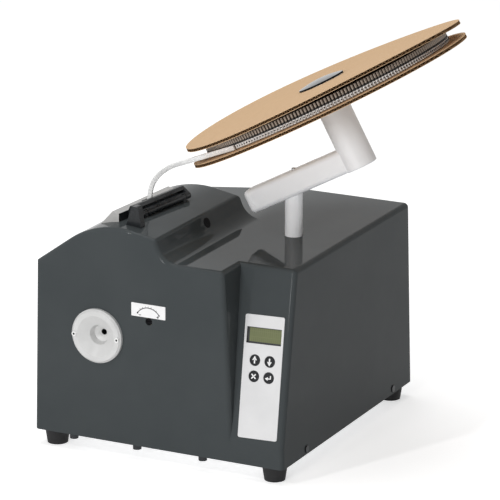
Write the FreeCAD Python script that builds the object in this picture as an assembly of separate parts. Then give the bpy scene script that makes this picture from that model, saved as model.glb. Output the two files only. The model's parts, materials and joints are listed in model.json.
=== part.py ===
import FreeCAD, Part
import math
import os
from FreeCAD import Placement, Rotation, Vector

# Bench machine that strips a wire end and crimps a ferrule on it, fed from a tilted card reel.
# Millimetres. X runs right, Y runs back and Z runs up from the table. The front face is at Y = 0
# and the left edge of the casing at X = 0 until the whole is centred at the end.

# Casing
CASE_W = 280.0
CASE_D = 308.0
CASE_H = 194.6
CASE_WALL = 3.0
SIDE_LEAN = 0.0265
LEFT_DROP = 15.8
LEFT_H = CASE_H - LEFT_DROP
ROOF_BREAK_X = 150.0
EDGE_R = 5.0

# Dome over the crimping tools
DOME_D = 183.0
DOME_CREST_X = 98.0
DOME_RISE = 29.2
DOME_CREST_H = CASE_H + DOME_RISE
DOME_R = 95.0
DOME_FALL_DEG = 11.3
STEP_X = 139.5
STEP_DEG = 68.0
STEP_FOOT_R = 22.0

# Leaning control panel beside the front face
PANEL_FOOT_H = 20.3
PANEL_SET_BACK = 39.2
PANEL_WIDE_TOP = 65.4
PANEL_WIDE_FOOT = 56.2
PANEL_LEFT_TOP = CASE_W - PANEL_WIDE_TOP
PANEL_LEFT_FOOT = CASE_W - PANEL_WIDE_FOOT
PANEL_ROLL_DEG = 2.0
PANEL_MID_IN = 31.0
PANEL_MID_X = CASE_W - PANEL_MID_IN
PANEL_MID_V = 69.1

# Feet, base plate and their screws
FOOT_H = 16.5
FOOT_TOP_R = 13.0
FOOT_TIP_R = 10.5
FOOT_INSET = 17.0
FOOT_SCREW_R = 2.0
FOOT_HEAD_R = 4.0
FOOT_HEAD_H = 3.0
FOOT_HEAD_GAP = 0.4
FOOT_WEB = 7.0
BASE_T = 3.0
BASE_GAP = 0.4
BASE_TAB_H = 16.0
BASE_TAB_W = 24.0
SCREW_GAP = 0.15
BASE_SCREW_XS = (40.7, 113.0, 187.0)
BASE_SCREW_INSET = 9.0
BASE_SCREW_R = 1.9
BASE_HEAD_R = 4.4
BASE_HEAD_H = 6.4
BOSS_R = 5.5
BOSS_H = 14.0
SIDE_SCREW_YS = (54.2, 260.0)
SIDE_SCREW_H = 5.7
SIDE_SCREW_R = 1.9
SIDE_HEAD_R = 3.6
SIDE_HEAD_T = 2.2
SIDE_HEAD_SUNK = 1.2
SIDE_HEAD_GAP = 0.5

# Wire entry funnel
WIRE_X = 74.6
WIRE_H = 110.0
FUNNEL_R = 28.0
FUNNEL_T = 5.0
FUNNEL_LIP_R = 21.2
FUNNEL_CUP_R = 10.4
FUNNEL_CUP_DEPTH = 2.2
FUNNEL_DISH_R = 8.6
FUNNEL_DISH_DEPTH = 9.0
FUNNEL_NECK_R = 5.0
FUNNEL_NECK_DEPTH = 11.0
FUNNEL_SEAT_R = 19.6
FUNNEL_SEAT_L = 8.0
FUNNEL_SPOUT_R = 14.0
FUNNEL_SPOUT_L = 24.0
FUNNEL_BEVEL = 2.0
WIRE_BORE_R = 3.0
FUNNEL_SCREW_REACH = 24.2
FUNNEL_SCREW_R = 1.45
FUNNEL_HEAD_R = 2.4
FUNNEL_HEAD_H = 1.4
FUNNEL_SOCKET_R = 1.1
FUNNEL_SOCKET_DEPTH = 1.1
FUNNEL_GAP = 0.3

# Depth adjuster and its scale
SCALE_X = 132.0
SCALE_H = 143.6
SCALE_W = 38.0
SCALE_HIGH = 13.6
SCALE_T = 0.6
ADJUST_X = 132.2
ADJUST_H = 132.5
ADJUST_R = 3.5
ADJUST_L = 26.0
ADJUST_SINK = 1.2
ADJUST_GAP = 0.05
ADJUST_BUSH_R = 6.0
ADJUST_BUSH_L = 12.0
ADJUST_SLOT_W = 1.0
ADJUST_SLOT_DEPTH = 1.2
ADJUST_COLLAR_R = 5.0
ADJUST_COLLAR_T = 4.0
ADJUST_HOLE_GAP = 0.3

# Control foil, display and keys, in the panel's own frame
FOIL_W = 42.6
FOIL_H = 122.4
FOIL_T = 1.3
FOIL_SUNK = 0.8
FOIL_CORNER_R = 2.0
FOIL_GAP = 0.1
LCD_W = 38.0
LCD_H = 16.3
LCD_V = 40.8
LCD_GAP = 0.15
LENS_T = 0.8
LENS_SUNK = 2.0
LCD_BEZEL_W = 39.4
LCD_BEZEL_H = 22.0
LCD_BEZEL_T = 4.2
LCD_BOARD_H = 29.0
BOARD_T = 1.6
KEY_R = 5.5
KEY_GAP = 0.3
KEY_PITCH_U = 16.2
KEY_PITCH_V = 16.0
KEY_V = 8.3
KEY_PROUD = 0.6
KEY_TRAVEL = 0.7
KEY_LIP = 0.5
KEY_LIP_T = 0.5
KEY_FREE = 0.1
KEYPAD_W = 38.0
KEYPAD_H = 34.0
SWITCH_SIDE = 6.0
SWITCH_T = 2.0
PANEL_HOLE_W = 40.0
PANEL_HOLE_LOW = 9.5
PANEL_HOLE_HIGH = 55.5
KEYPAD_POST_R = 1.6

# Feed channel on the dome
FEED_X = 90.3
FEED_Y = 79.8
FEED_SKEW_DEG = 6.5
FEED_SLOT_W = 7.0
FEED_BACK = 49.0
FEED_RISE = 12.7
FEED_H = DOME_CREST_H + FEED_RISE
COVER_FRONT = 56.0
COVER_RISE = 9.2
COVER_FALL = 1.4
COVER_CLEAR = 0.8
COVER_LEFT_FRONT = 5.0
COVER_LEFT_BACK = 10.0
COVER_FOOT_W = 20.0
BAR_TOP_W = 4.5
BAR_LEAD = 2.0
BAR_LEAD_H = 4.0
BAR_FOOT_W = 14.5
BAR_FRONT = 41.0
BAR_SIDE_DEG = 37.0
BAR_GROOVE_DROP = 2.5
BAR_GROOVE_W = 2.5
BAR_GROOVE_INSET = 4.0
BARREL_R = 3.4
SLOT_HALF_L = 8.0
FIN_X = 107.3
FIN_Y = 16.0
FIN_T = 9.0
FIN_RISE = 19.7
FIN_H = DOME_CREST_H + FIN_RISE
FIN_FOOT_W = 16.5
FIN_TOP_W = 7.0
FIN_LEAN = 1.5
FLAP_CLEAR = 0.4
FLAP_PIN_R = 1.5
FLAP_PIN_GAP = 0.05
LUG_R = 3.0
LUG_T = 5.0
LUG_YS = (-32.0, 36.0)
GUIDE_SKIRT = 12.0

# Plug in the step wall
PLUG_Y = 104.5
PLUG_RISE = 13.9
PLUG_H = CASE_H + PLUG_RISE
PLUG_R = 5.2
PLUG_SHANK_R = 3.8
PLUG_HEAD_T = 0.8
PLUG_L = 9.0

# Reel post and arm
POST_FROM_RIGHT = 60.6
POST_FROM_BACK = 160.8
POST_X = CASE_W - POST_FROM_RIGHT
POST_Y = CASE_D - POST_FROM_BACK
POST_R = 9.0
POST_GAP = 0.1
POST_HOLE_GAP = 0.5
SOCKET_R = 17.0
SOCKET_DEPTH = 70.0
SOCKET_FLANGE_R = 32.0
SOCKET_FLANGE_T = 6.0
ARM_RISE = 54.9
ARM_TILT_DEG = 27.8
ARM_SWIVEL_DEG = 5.6
ARM_REACH = 75.0
ARM_TAIL = 52.0
ARM_HIGH = 24.5
ARM_THICK = 25.0
ARM_EDGE_R = 5.0
POST_IN_ARM = 2.0
CLAMP_R = 2.5
CLAMP_HEAD_R = 2.6
CLAMP_HEAD_H = 1.2
CLAMP_L = 20.0
DIMPLE_R = 5.0
DIMPLE_DEPTH = 0.6
DIMPLE_INSET = 11.0
HOUSING_R = 16.7
HOUSING_TOP = 58.75
HOUSING_EDGE_R = 1.5
SPINDLE_R = 8.0
SPINDLE_GAP = 0.05
SPINDLE_SINK = 44.0

# Card reel with its wound ferrule strip, in the reel's own frame
REEL_R = 149.5
FLANGE_T = 3.6
REEL_GAP = 14.0
REEL_CLEAR = 0.4
HUB_R = 23.0
HUB_GAP = 0.1
CORE_R = 30.0
WIND_R = 132.5
TURN_T = 3.2
TURN_OPEN_DEG = 14.0
WIND_CLEAR = 0.5
CAP_R = 24.0
CAP_H = 4.6
CAP_RIM_H = 1.8
CAP_RECESS = 2.4

# Free stretch of the strip, from the winding to the feed slot
STRIP_R = 2.5
STRIP_CLEAR = 0.3
STRIP_LEAVE_DEG = 244.0
STRIP_POINTS = ((150.0, 49.8, 287.0), (118.0, 66.0, 272.6), (96.0, 77.0, 253.0), (90.4, 79.7, 231.0))
STRIP_END_DROP = 22.0
STRIP_TURN_SHARE = 0.45

# Crimping tool frame
PLATE_T = 8.0
FRAME_X0 = 34.0
FRAME_X1 = 124.0
FRAME_Y0 = 26.0
FRAME_Y1 = 66.0
SHELF_LOW = 42.0
SHELF_HIGH = 166.0
MOTOR_SHELF_X1 = 162.0
ROD_XS = (44.0, 115.0)
ROD_R = 4.0
ROD_GAP = 0.05
SPINDLE_X = 100.0
TOOL_Y = 46.0
SCREW_R = 6.0
SCREW_GAP_R = 0.05
BUSH_R = 9.0
JAW_DEPTH = 24.0
JAW_HIGH = 24.0
JAW_OPEN = 13.0
JAW_STROKE = 10.0
JAW_SIDE = 2.0
BLADE_W = 18.0
BLADE_T = 2.0
BLADE_EDGE = 0.8
BLADE_NOTCH = 3.0
DIE_W = 12.0
DIE_L = 14.0
DIE_FACE = 1.5
GEAR_MODULE = 1.0
GEAR_TEETH = 56
PINION_TEETH = 16
GEAR_T = 8.0
GEAR_LIFT = 2.0
PINION_SHAFT_R = 3.0
MOTOR_R = 13.0
MOTOR_L = 58.0
SHAFT_HOLE_GAP = 1.0
COLLAR_R = 10.0
COLLAR_T = 5.0
RUN_GAP = 0.3

# Strip feed wheel
WHEEL_R = 11.0
WHEEL_T = 8.0
WHEEL_TEETH = 14
WHEEL_NOTCH_R = 1.3
WHEEL_GAP = 0.6
WHEEL_DROP = 20.8
WHEEL_SHAFT_R = 2.5
FEED_PLATE_T = 3.0
FEED_PLATE_SIDE = 34.0
FEED_MOTOR_SIDE = 28.0
FEED_MOTOR_L = 32.0
FEED_PLATE_GAP = 4.0
FEED_PLATE_RISE = 11.0

# Electronics and rear fittings
CARD_W = 118.0
CARD_D = 92.0
CARD_FROM_RIGHT = 32.0
REAR_ROOM = 20.0
CARD_X0 = CASE_W - CARD_FROM_RIGHT - CARD_W
CARD_Y0 = CASE_D - REAR_ROOM - CARD_D
SPACER_R = 3.0
SPACER_H = 8.0
SPACER_INSET = 7.0
SUPPLY_X0 = 24.0
SUPPLY_W = 62.0
SUPPLY_D = 98.0
SUPPLY_Y0 = CASE_D - REAR_ROOM - SUPPLY_D
SUPPLY_H = 36.0
CAPACITOR_R = 6.0
CAPACITOR_H = 18.0
REAR_H = 48.0
INLET_FROM_RIGHT = 70.0
INLET_X = CASE_W - INLET_FROM_RIGHT
INLET_W = 27.0
INLET_H = 20.0
INLET_FLANGE = 4.0
INLET_FLANGE_T = 2.4
INLET_DEPTH = 20.0
SOCKET_W = 22.5
SOCKET_H = 15.5
PLUG_DEPTH = 16.0
PIN_L = 10.0
PIN_W = 2.0
PIN_H = 4.0
PIN_PITCH = 7.0
PIN_RISE = 2.0
ROCKER_FROM_INLET = 38.0
ROCKER_X = INLET_X - ROCKER_FROM_INLET
ROCKER_W = 13.0
ROCKER_H = 19.0
ROCKER_RIM = 2.0
ROCKER_DEPTH = 18.0
ROCKER_WALL = 1.2
ROCKER_GAP = 0.3
ROCKER_SIDE_GAP = 0.9
ROCKER_SINK = 3.0
ROCKER_PROUD = 1.6
ROCKER_DISH = 1.2
ROCKER_PIN_R = 1.2
ROCKER_PIN_GAP = 0.05
ROCKER_DEG = 9.0
VENT_COUNT = 7
VENT_W = 46.0
VENT_H = 3.0
VENT_PITCH = 8.0
VENT_X = 90.0
VENT_BASE_H = 96.0

UP = Vector(0, 0, 1)
ACROSS = Vector(1, 0, 0)
BACK = Vector(0, 1, 0)


def box(x0, x1, y0, y1, z0, z1):
    return Part.makeBox(x1 - x0, y1 - y0, z1 - z0, Vector(x0, y0, z0))


def centred_box(width, height, z0, z1, x=0.0, y=0.0):
    return box(x - width / 2, x + width / 2, y - height / 2, y + height / 2, z0, z1)


def rod(radius, length, base, axis=UP):
    return Part.makeCylinder(radius, length, base, axis)


def joined(*shapes):
    return shapes[0].multiFuse(list(shapes[1:])).removeSplitter()


def without(shape, *tools):
    return shape.cut(list(tools))


def group(shapes):
    return Part.makeCompound(shapes)


def prism(points, along):
    wire = Part.makePolygon(points + points[:1])
    return Part.Face(wire).extrude(along)


def turned(profile):
    """Solid of revolution about the local Z axis, from (radius, height) pairs."""
    points = [Vector(r, 0, z) for r, z in profile]
    face = Part.Face(Part.makePolygon(points + points[:1]))
    return face.revolve(Vector(0, 0, 0), UP, 360)


def placed(shape, frame):
    copy = shape.copy()
    copy.Placement = frame.multiply(copy.Placement)
    return copy


def high(z):
    """Height above the table of a height above the casing's lower edge."""
    return FOOT_H + z


# Frames that pieces are built in
PANEL_LEAN = math.atan2(PANEL_SET_BACK, CASE_H - PANEL_FOOT_H)
PANEL_UP = Vector(0, math.sin(PANEL_LEAN), math.cos(PANEL_LEAN))
PANEL_OUT = Vector(0, -math.cos(PANEL_LEAN), math.sin(PANEL_LEAN))
PANEL_MID = Vector(PANEL_MID_X, 0, high(PANEL_FOOT_H)) + PANEL_UP * PANEL_MID_V
PANEL_FRAME = Placement(PANEL_MID, Rotation(ACROSS, PANEL_UP, PANEL_OUT, "XYZ"))
PANEL_FRAME = PANEL_FRAME.multiply(Placement(Vector(), Rotation(UP, PANEL_ROLL_DEG)))
FRONT_TURN = Rotation(ACROSS, UP, Vector(0, -1, 0), "XYZ")
FUNNEL_FRAME = Placement(Vector(WIRE_X, 0, high(WIRE_H)), FRONT_TURN)
ADJUST_FRAME = Placement(Vector(ADJUST_X, 0, high(ADJUST_H)), FRONT_TURN)
SCALE_FRAME = Placement(Vector(SCALE_X, 0, high(SCALE_H)), FRONT_TURN)
REAR_TURN = Rotation(Vector(-1, 0, 0), UP, BACK, "XYZ")
INLET_FRAME = Placement(Vector(INLET_X, CASE_D, high(REAR_H)), REAR_TURN)
ROCKER_PLACE = Placement(Vector(ROCKER_X, CASE_D, high(REAR_H)), REAR_TURN)
FEED_FRAME = Placement(Vector(FEED_X, FEED_Y, FOOT_H), Rotation(UP, -FEED_SKEW_DEG))
ARM_TURN = Rotation(UP, ARM_SWIVEL_DEG).multiply(Rotation(BACK, -ARM_TILT_DEG))
ARM_AXIS = ARM_TURN.multVec(ACROSS)
POST_TOP = Vector(POST_X, POST_Y, high(CASE_H + ARM_RISE))
REEL_FOOT = POST_TOP + ARM_AXIS * ARM_REACH
REEL_FRAME = Placement(REEL_FOOT, ARM_TURN)

# Heights along the reel's axis, from the arm's centre line
REEL_LOW = HOUSING_TOP + REEL_CLEAR
GAP_LOW = REEL_LOW + FLANGE_T
GAP_HIGH = GAP_LOW + REEL_GAP
REEL_TOP = GAP_HIGH + FLANGE_T
STRIP_LEVEL = GAP_LOW + WIND_CLEAR + STRIP_R

# Tool frame heights
WIRE_Z = high(WIRE_H)
SHELF_LOW_Z = high(SHELF_LOW)
SHELF_HIGH_Z = high(SHELF_HIGH)
GEAR_Z = SHELF_HIGH_Z + PLATE_T + GEAR_LIFT
GEAR_DISTANCE = GEAR_MODULE * (GEAR_TEETH + PINION_TEETH) / 2
MOTOR_X = SPINDLE_X + GEAR_DISTANCE
BASE_TOP = FOOT_H + BASE_T


def block_profile(bottom):
    right_top = CASE_W - SIDE_LEAN * CASE_H
    right_low = CASE_W - SIDE_LEAN * bottom
    return Part.makePolygon([
        Vector(SIDE_LEAN * bottom, 0, bottom),
        Vector(right_low, 0, bottom),
        Vector(right_top, 0, CASE_H),
        Vector(ROOF_BREAK_X, 0, CASE_H),
        Vector(SIDE_LEAN * LEFT_H, 0, LEFT_H),
        Vector(SIDE_LEAN * bottom, 0, bottom),
    ])


def dome_profile(bottom):
    """Outline of the dome: slope, crest arc, gentle fall, step wall and its round foot."""
    centre = Vector(DOME_CREST_X, 0, DOME_CREST_H - DOME_R)
    left = Vector(SIDE_LEAN * LEFT_H, 0, LEFT_H)
    away = left - centre
    swing = math.acos(DOME_R / away.Length)
    start = math.atan2(away.z, away.x) - swing
    fall = math.radians(DOME_FALL_DEG)
    end = math.pi / 2 - fall

    def on_crest(angle):
        return centre + Vector(math.cos(angle), 0, math.sin(angle)) * DOME_R

    arc_end = on_crest(end)
    step_top = Vector(STEP_X, 0, arc_end.z - (STEP_X - arc_end.x) * math.tan(fall))
    steep = math.radians(STEP_DEG)
    foot = Vector(STEP_X + (step_top.z - CASE_H) / math.tan(steep), 0, CASE_H)
    back_off = STEP_FOOT_R * math.tan(steep / 2)
    wall_end = foot + Vector(-math.cos(steep), 0, math.sin(steep)) * back_off
    roof_start = foot + ACROSS * back_off
    foot_centre = roof_start + UP * STEP_FOOT_R
    middle = math.radians(270) - steep / 2
    foot_mid = foot_centre + Vector(math.cos(middle), 0, math.sin(middle)) * STEP_FOOT_R
    low_right = Vector(roof_start.x, 0, bottom)
    low_left = Vector(SIDE_LEAN * bottom, 0, bottom)
    edges = [
        Part.LineSegment(left, on_crest(start)),
        Part.Arc(on_crest(start), on_crest((start + end) / 2), arc_end),
        Part.LineSegment(arc_end, step_top),
        Part.LineSegment(step_top, wall_end),
        Part.Arc(wall_end, foot_mid, roof_start),
        Part.LineSegment(roof_start, low_right),
        Part.LineSegment(low_right, low_left),
        Part.LineSegment(low_left, left),
    ]
    return Part.Wire([edge.toShape() for edge in edges])


def inset_face(wire, inset):
    face = Part.Face(wire)
    if inset:
        face = face.makeOffset2D(-inset, 2)
    return face


def panel_wedge(inset):
    """Space in front of the leaning panel, grown by the wall for the inside of the casing."""
    reach = CASE_W
    slope = math.tan(PANEL_LEAN)
    foot = Vector(0, 0, PANEL_FOOT_H) - PANEL_OUT * inset
    rise = DOME_CREST_H + inset
    top = foot + Vector(0, rise * slope, rise)
    low = Vector(0, -reach, foot.z - reach / slope)
    side = prism([low, top, Vector(0, -reach, top.z)], ACROSS * (2 * reach))
    lean = (PANEL_LEFT_FOOT - PANEL_LEFT_TOP) / (CASE_H - PANEL_FOOT_H)

    def groove_x(z):
        return PANEL_LEFT_FOOT - lean * (z - PANEL_FOOT_H) - inset

    front = prism([
        Vector(groove_x(-reach), -reach, -reach),
        Vector(groove_x(top.z), -reach, top.z),
        Vector(2 * reach, -reach, top.z),
        Vector(2 * reach, -reach, -reach),
    ], BACK * (2 * reach))
    return side.common(front)


def casing_body(inset):
    """Outer skin of the casing, or its inside when inset by the wall."""
    bottom = -2 * inset
    block = inset_face(block_profile(bottom), inset).extrude(BACK * (CASE_D - 2 * inset))
    dome_low = LEFT_H / 2
    dome = inset_face(dome_profile(dome_low), inset).extrude(BACK * (DOME_D - 2 * inset))
    body = joined(block, dome)
    body.translate(BACK * inset)
    return body.cut(panel_wedge(inset)).removeSplitter()


def edges_at(shape, spots):
    """The edges of a shape that pass nearest to the given points."""
    found = []
    for spot in spots:
        vertex = Part.Vertex(spot)
        found.append(min(shape.Edges, key=lambda edge: edge.distToShape(vertex)[0]))
    return found


def side_x(z):
    """Right wall of the casing at a height above its lower edge."""
    return CASE_W - SIDE_LEAN * z


def dome_z(x):
    """Height of the dome's crest arc above the casing's lower edge."""
    return DOME_CREST_H - DOME_R + math.sqrt(DOME_R ** 2 - (x - DOME_CREST_X) ** 2)


FALL_X = DOME_CREST_X + DOME_R * math.sin(math.radians(DOME_FALL_DEG))
FALL_SLOPE = math.tan(math.radians(DOME_FALL_DEG))
STEP_SLOPE = math.tan(math.radians(STEP_DEG))
STEP_TOP_H = dome_z(FALL_X) - (STEP_X - FALL_X) * FALL_SLOPE
STEP_FOOT_X = STEP_X + (STEP_TOP_H - CASE_H) / STEP_SLOPE


def step_x(z):
    """Step wall of the dome at a height above the casing's lower edge."""
    return STEP_X + (STEP_TOP_H - z) / STEP_SLOPE


def rounded_skin():
    """Casing as a solid block with its outer edges rounded."""
    skin = casing_body(0.0)
    left_x = SIDE_LEAN * LEFT_H
    fall_mid = Vector((FALL_X + STEP_X) / 2, 0, (dome_z(FALL_X) + STEP_TOP_H) / 2)
    step_mid_z = STEP_TOP_H - (STEP_TOP_H - CASE_H) / 4
    panel_mid_z = (PANEL_FOOT_H + CASE_H) / 2
    panel_mid_y = PANEL_SET_BACK / 2
    slope_x = DOME_CREST_X - DOME_R * 0.8
    spots = [
        Vector(left_x / 2, 0, LEFT_H / 2),
        Vector(slope_x, 0, dome_z(slope_x)),
        Vector(DOME_CREST_X, 0, DOME_CREST_H),
        fall_mid,
        Vector(step_x(step_mid_z), 0, step_mid_z),
        Vector(STEP_FOOT_X, 0, CASE_H + STEP_FOOT_R / 5),
        Vector((STEP_FOOT_X + PANEL_LEFT_TOP) / 2, 0, CASE_H),
        Vector((PANEL_LEFT_TOP + PANEL_LEFT_FOOT) / 2, 0, panel_mid_z),
        Vector(PANEL_LEFT_TOP, panel_mid_y, CASE_H),
        Vector((PANEL_LEFT_TOP + CASE_W) / 2, PANEL_SET_BACK, CASE_H),
        Vector(side_x(panel_mid_z), panel_mid_y, panel_mid_z),
        Vector(side_x(PANEL_FOOT_H / 2), 0, PANEL_FOOT_H / 2),
        Vector(side_x(CASE_H), CASE_D / 2, CASE_H),
        Vector((ROOF_BREAK_X + CASE_W) / 2, CASE_D, CASE_H),
        Vector((ROOF_BREAK_X + left_x) / 2, CASE_D, (CASE_H + LEFT_H) / 2),
        Vector(side_x(CASE_H / 2), CASE_D, CASE_H / 2),
        Vector(left_x / 2, CASE_D, LEFT_H / 2),
        Vector(STEP_X, DOME_D / 2, STEP_TOP_H),
        Vector(DOME_CREST_X, DOME_D, DOME_CREST_H),
        fall_mid + BACK * DOME_D,
    ]
    return skin.makeFillet(EDGE_R, edges_at(skin, spots))


# Places that several pieces share
FOIL_TOP = FOIL_T - FOIL_SUNK
LIP_TOP = -FOIL_SUNK - KEY_FREE
LIP_LOW = LIP_TOP - KEY_LIP_T
SWITCH_TOP = LIP_LOW - KEY_TRAVEL - KEY_FREE
KEYPAD_TOP = SWITCH_TOP - SWITCH_T
KEY_PLACES = {
    "key_up": Vector(-KEY_PITCH_U / 2, KEY_V + KEY_PITCH_V / 2, 0),
    "key_down": Vector(KEY_PITCH_U / 2, KEY_V + KEY_PITCH_V / 2, 0),
    "key_clear": Vector(-KEY_PITCH_U / 2, KEY_V - KEY_PITCH_V / 2, 0),
    "key_enter": Vector(KEY_PITCH_U / 2, KEY_V - KEY_PITCH_V / 2, 0),
}
STEP_OUT = Vector(math.sin(math.radians(STEP_DEG)), 0, math.cos(math.radians(STEP_DEG)))
PLUG_TURN = Rotation(BACK, STEP_OUT.cross(BACK), STEP_OUT, "XYZ")
PLUG_FRAME = Placement(Vector(step_x(PLUG_H), PLUG_Y, high(PLUG_H)), PLUG_TURN)
BAR_LEFT = FEED_SLOT_W / 2 + FLAP_CLEAR
BAR_LOW = DOME_CREST_H + FLAP_CLEAR
FLAP_PIN_X = BAR_LEFT + BAR_FOOT_W - BARREL_R
FLAP_PIN_H = BAR_LOW + BARREL_R
FOOT_SPOTS = [
    Vector(x, y, 0)
    for x in (FOOT_INSET, CASE_W - FOOT_INSET)
    for y in (FOOT_INSET, CASE_D - FOOT_INSET)
]
BASE_SCREW_SPOTS = [
    Vector(x, y, FOOT_H)
    for x in BASE_SCREW_XS
    for y in (BASE_SCREW_INSET, CASE_D - BASE_SCREW_INSET)
]


def slab(width, height, corner, z0, z1):
    """Flat plate about the local Z axis with round corners."""
    plate = centred_box(width, height, z0, z1)
    upright = [edge for edge in plate.Edges if edge.BoundBox.ZLength > (z1 - z0) / 2]
    return plate.makeFillet(corner, upright)


def side_screw_frame(y, right):
    x = side_x(SIDE_SCREW_H) if right else CASE_W - side_x(SIDE_SCREW_H)
    out = ACROSS if right else Vector(-1, 0, 0)
    return Placement(Vector(x, y, high(SIDE_SCREW_H)), Rotation(BACK, out.cross(BACK), out, "XYZ"))


def side_screw_frames():
    return [side_screw_frame(y, right) for y in SIDE_SCREW_YS for right in (False, True)]


def wall_hole(radius, frame, x=0.0):
    """Round hole through the casing about the Z axis of a frame on its outer face."""
    return placed(rod(radius, 4 * CASE_WALL, Vector(x, 0, -3 * CASE_WALL)), frame)


def wall_window(width, height, frame):
    return placed(centred_box(width, height, -2 * CASE_WALL, CASE_WALL), frame)


def screw_bosses():
    bosses = []
    for spot in BASE_SCREW_SPOTS:
        front = spot.y < CASE_D / 2
        wall_y = CASE_WALL / 2 if front else CASE_D - CASE_WALL / 2
        deep_y = spot.y + (BOSS_R if front else -BOSS_R)
        y0, y1 = sorted((wall_y, deep_y))
        bosses.append(box(spot.x - BOSS_R, spot.x + BOSS_R, y0, y1, BASE_TOP, BASE_TOP + BOSS_H))
    return bosses


def panel_opening():
    """Shallow recess for the control foil, with a window behind the display and the keys."""
    width = FOIL_W + 2 * FOIL_GAP
    height = FOIL_H + 2 * FOIL_GAP
    recess = slab(width, height, FOIL_CORNER_R, -FOIL_SUNK, CASE_WALL)
    half = PANEL_HOLE_W / 2
    window = box(-half, half, -PANEL_HOLE_LOW, PANEL_HOLE_HIGH, -3 * CASE_WALL, 0)
    return placed(recess.fuse(window), PANEL_FRAME)


def vent_slots():
    x0 = VENT_X - VENT_W / 2
    slots = []
    for row in range(VENT_COUNT):
        z = high(VENT_BASE_H + row * VENT_PITCH)
        slots.append(box(x0, x0 + VENT_W, CASE_D - 2 * CASE_WALL, CASE_D + 1, z, z + VENT_H))
    return slots


def casing():
    shell = rounded_skin().cut(casing_body(CASE_WALL))
    shell.translate(UP * FOOT_H)
    shell = joined(shell, *screw_bosses())
    cuts = [panel_opening()] + vent_slots()
    cuts += [rod(BASE_SCREW_R + SCREW_GAP, BOSS_H, spot + UP * BASE_T / 2) for spot in BASE_SCREW_SPOTS]
    for frame in side_screw_frames():
        cuts.append(wall_hole(SIDE_SCREW_R + SCREW_GAP, frame))
        sunk = rod(SIDE_HEAD_R + SIDE_HEAD_GAP, CASE_WALL, Vector(0, 0, -SIDE_HEAD_SUNK))
        cuts.append(placed(sunk, frame))
    cuts.append(wall_hole(FUNNEL_SEAT_R + FUNNEL_GAP, FUNNEL_FRAME))
    for side in (-1, 1):
        cuts.append(wall_hole(FUNNEL_SCREW_R + SCREW_GAP, FUNNEL_FRAME, side * FUNNEL_SCREW_REACH))
    cuts.append(wall_hole(ADJUST_R + ADJUST_HOLE_GAP, ADJUST_FRAME))
    cuts.append(wall_hole(PLUG_SHANK_R + SCREW_GAP, PLUG_FRAME))
    cuts.append(placed(rod(PLUG_R + SCREW_GAP, CASE_WALL, Vector()), PLUG_FRAME))
    cuts.append(wall_window(INLET_W, INLET_H, INLET_FRAME))
    cuts.append(wall_window(ROCKER_W, ROCKER_H, ROCKER_PLACE))
    post_low = Vector(POST_X, POST_Y, high(CASE_H - 2 * CASE_WALL))
    cuts.append(rod(POST_R + POST_HOLE_GAP, 3 * CASE_WALL, post_low))
    half = FEED_SLOT_W / 2
    slot = box(-half, half, -SLOT_HALF_L, SLOT_HALF_L, DOME_CREST_H - 4 * CASE_WALL, FEED_H)
    cuts.append(placed(slot, FEED_FRAME))
    return without(shell, *cuts)


def base_plate():
    edge = CASE_WALL + BASE_GAP
    plate = box(edge, CASE_W - edge, edge, CASE_D - edge, FOOT_H, BASE_TOP)
    tab_x = edge + SIDE_LEAN * (BASE_T + BASE_TAB_H)
    tabs = []
    for y in SIDE_SCREW_YS:
        y0 = y - BASE_TAB_W / 2
        for x0 in (tab_x, CASE_W - tab_x - BASE_T):
            tabs.append(box(x0, x0 + BASE_T, y0, y0 + BASE_TAB_W, FOOT_H, BASE_TOP + BASE_TAB_H))
    plate = joined(plate, *tabs)
    cuts = [rod(FOOT_SCREW_R + SCREW_GAP, 3 * BASE_T, spot + UP * (FOOT_H - BASE_T)) for spot in FOOT_SPOTS]
    cuts += [rod(BASE_SCREW_R + SCREW_GAP, 3 * BASE_T, spot - UP * BASE_T) for spot in BASE_SCREW_SPOTS]
    for frame in side_screw_frames():
        reach = 6 * CASE_WALL
        cuts.append(placed(rod(SIDE_SCREW_R + SCREW_GAP, reach, Vector(0, 0, -reach)), frame))
    return without(plate, *cuts)


def rubber_feet():
    feet = []
    for spot in FOOT_SPOTS:
        foot = Part.makeCone(FOOT_TIP_R, FOOT_TOP_R, FOOT_H, spot, UP)
        bore = rod(FOOT_SCREW_R + SCREW_GAP, FOOT_H, spot)
        well = rod(FOOT_HEAD_R + FOOT_HEAD_GAP, FOOT_H - FOOT_WEB, spot)
        feet.append(without(foot, bore, well))
    return group(feet)


def foot_screws():
    screws = []
    for spot in FOOT_SPOTS:
        seat = spot + UP * (FOOT_H - FOOT_WEB)
        head = rod(FOOT_HEAD_R, FOOT_HEAD_H, seat - UP * FOOT_HEAD_H)
        shank = rod(FOOT_SCREW_R, FOOT_WEB + 2 * BASE_T, seat)
        screws.append(joined(head, shank))
    return group(screws)


def base_screws():
    screws = []
    for spot in BASE_SCREW_SPOTS:
        head = rod(BASE_HEAD_R, BASE_HEAD_H, spot - UP * BASE_HEAD_H)
        shank = rod(BASE_SCREW_R, BASE_T + BOSS_H / 2, spot)
        screws.append(joined(head, shank))
    return group(screws)


def side_screws():
    screws = []
    for frame in side_screw_frames():
        head = rod(SIDE_HEAD_R, SIDE_HEAD_T, Vector(0, 0, -SIDE_HEAD_SUNK))
        length = 4 * CASE_WALL
        shank = rod(SIDE_SCREW_R, length, Vector(0, 0, -length))
        screws.append(placed(joined(head, shank), frame))
    return group(screws)


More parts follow.
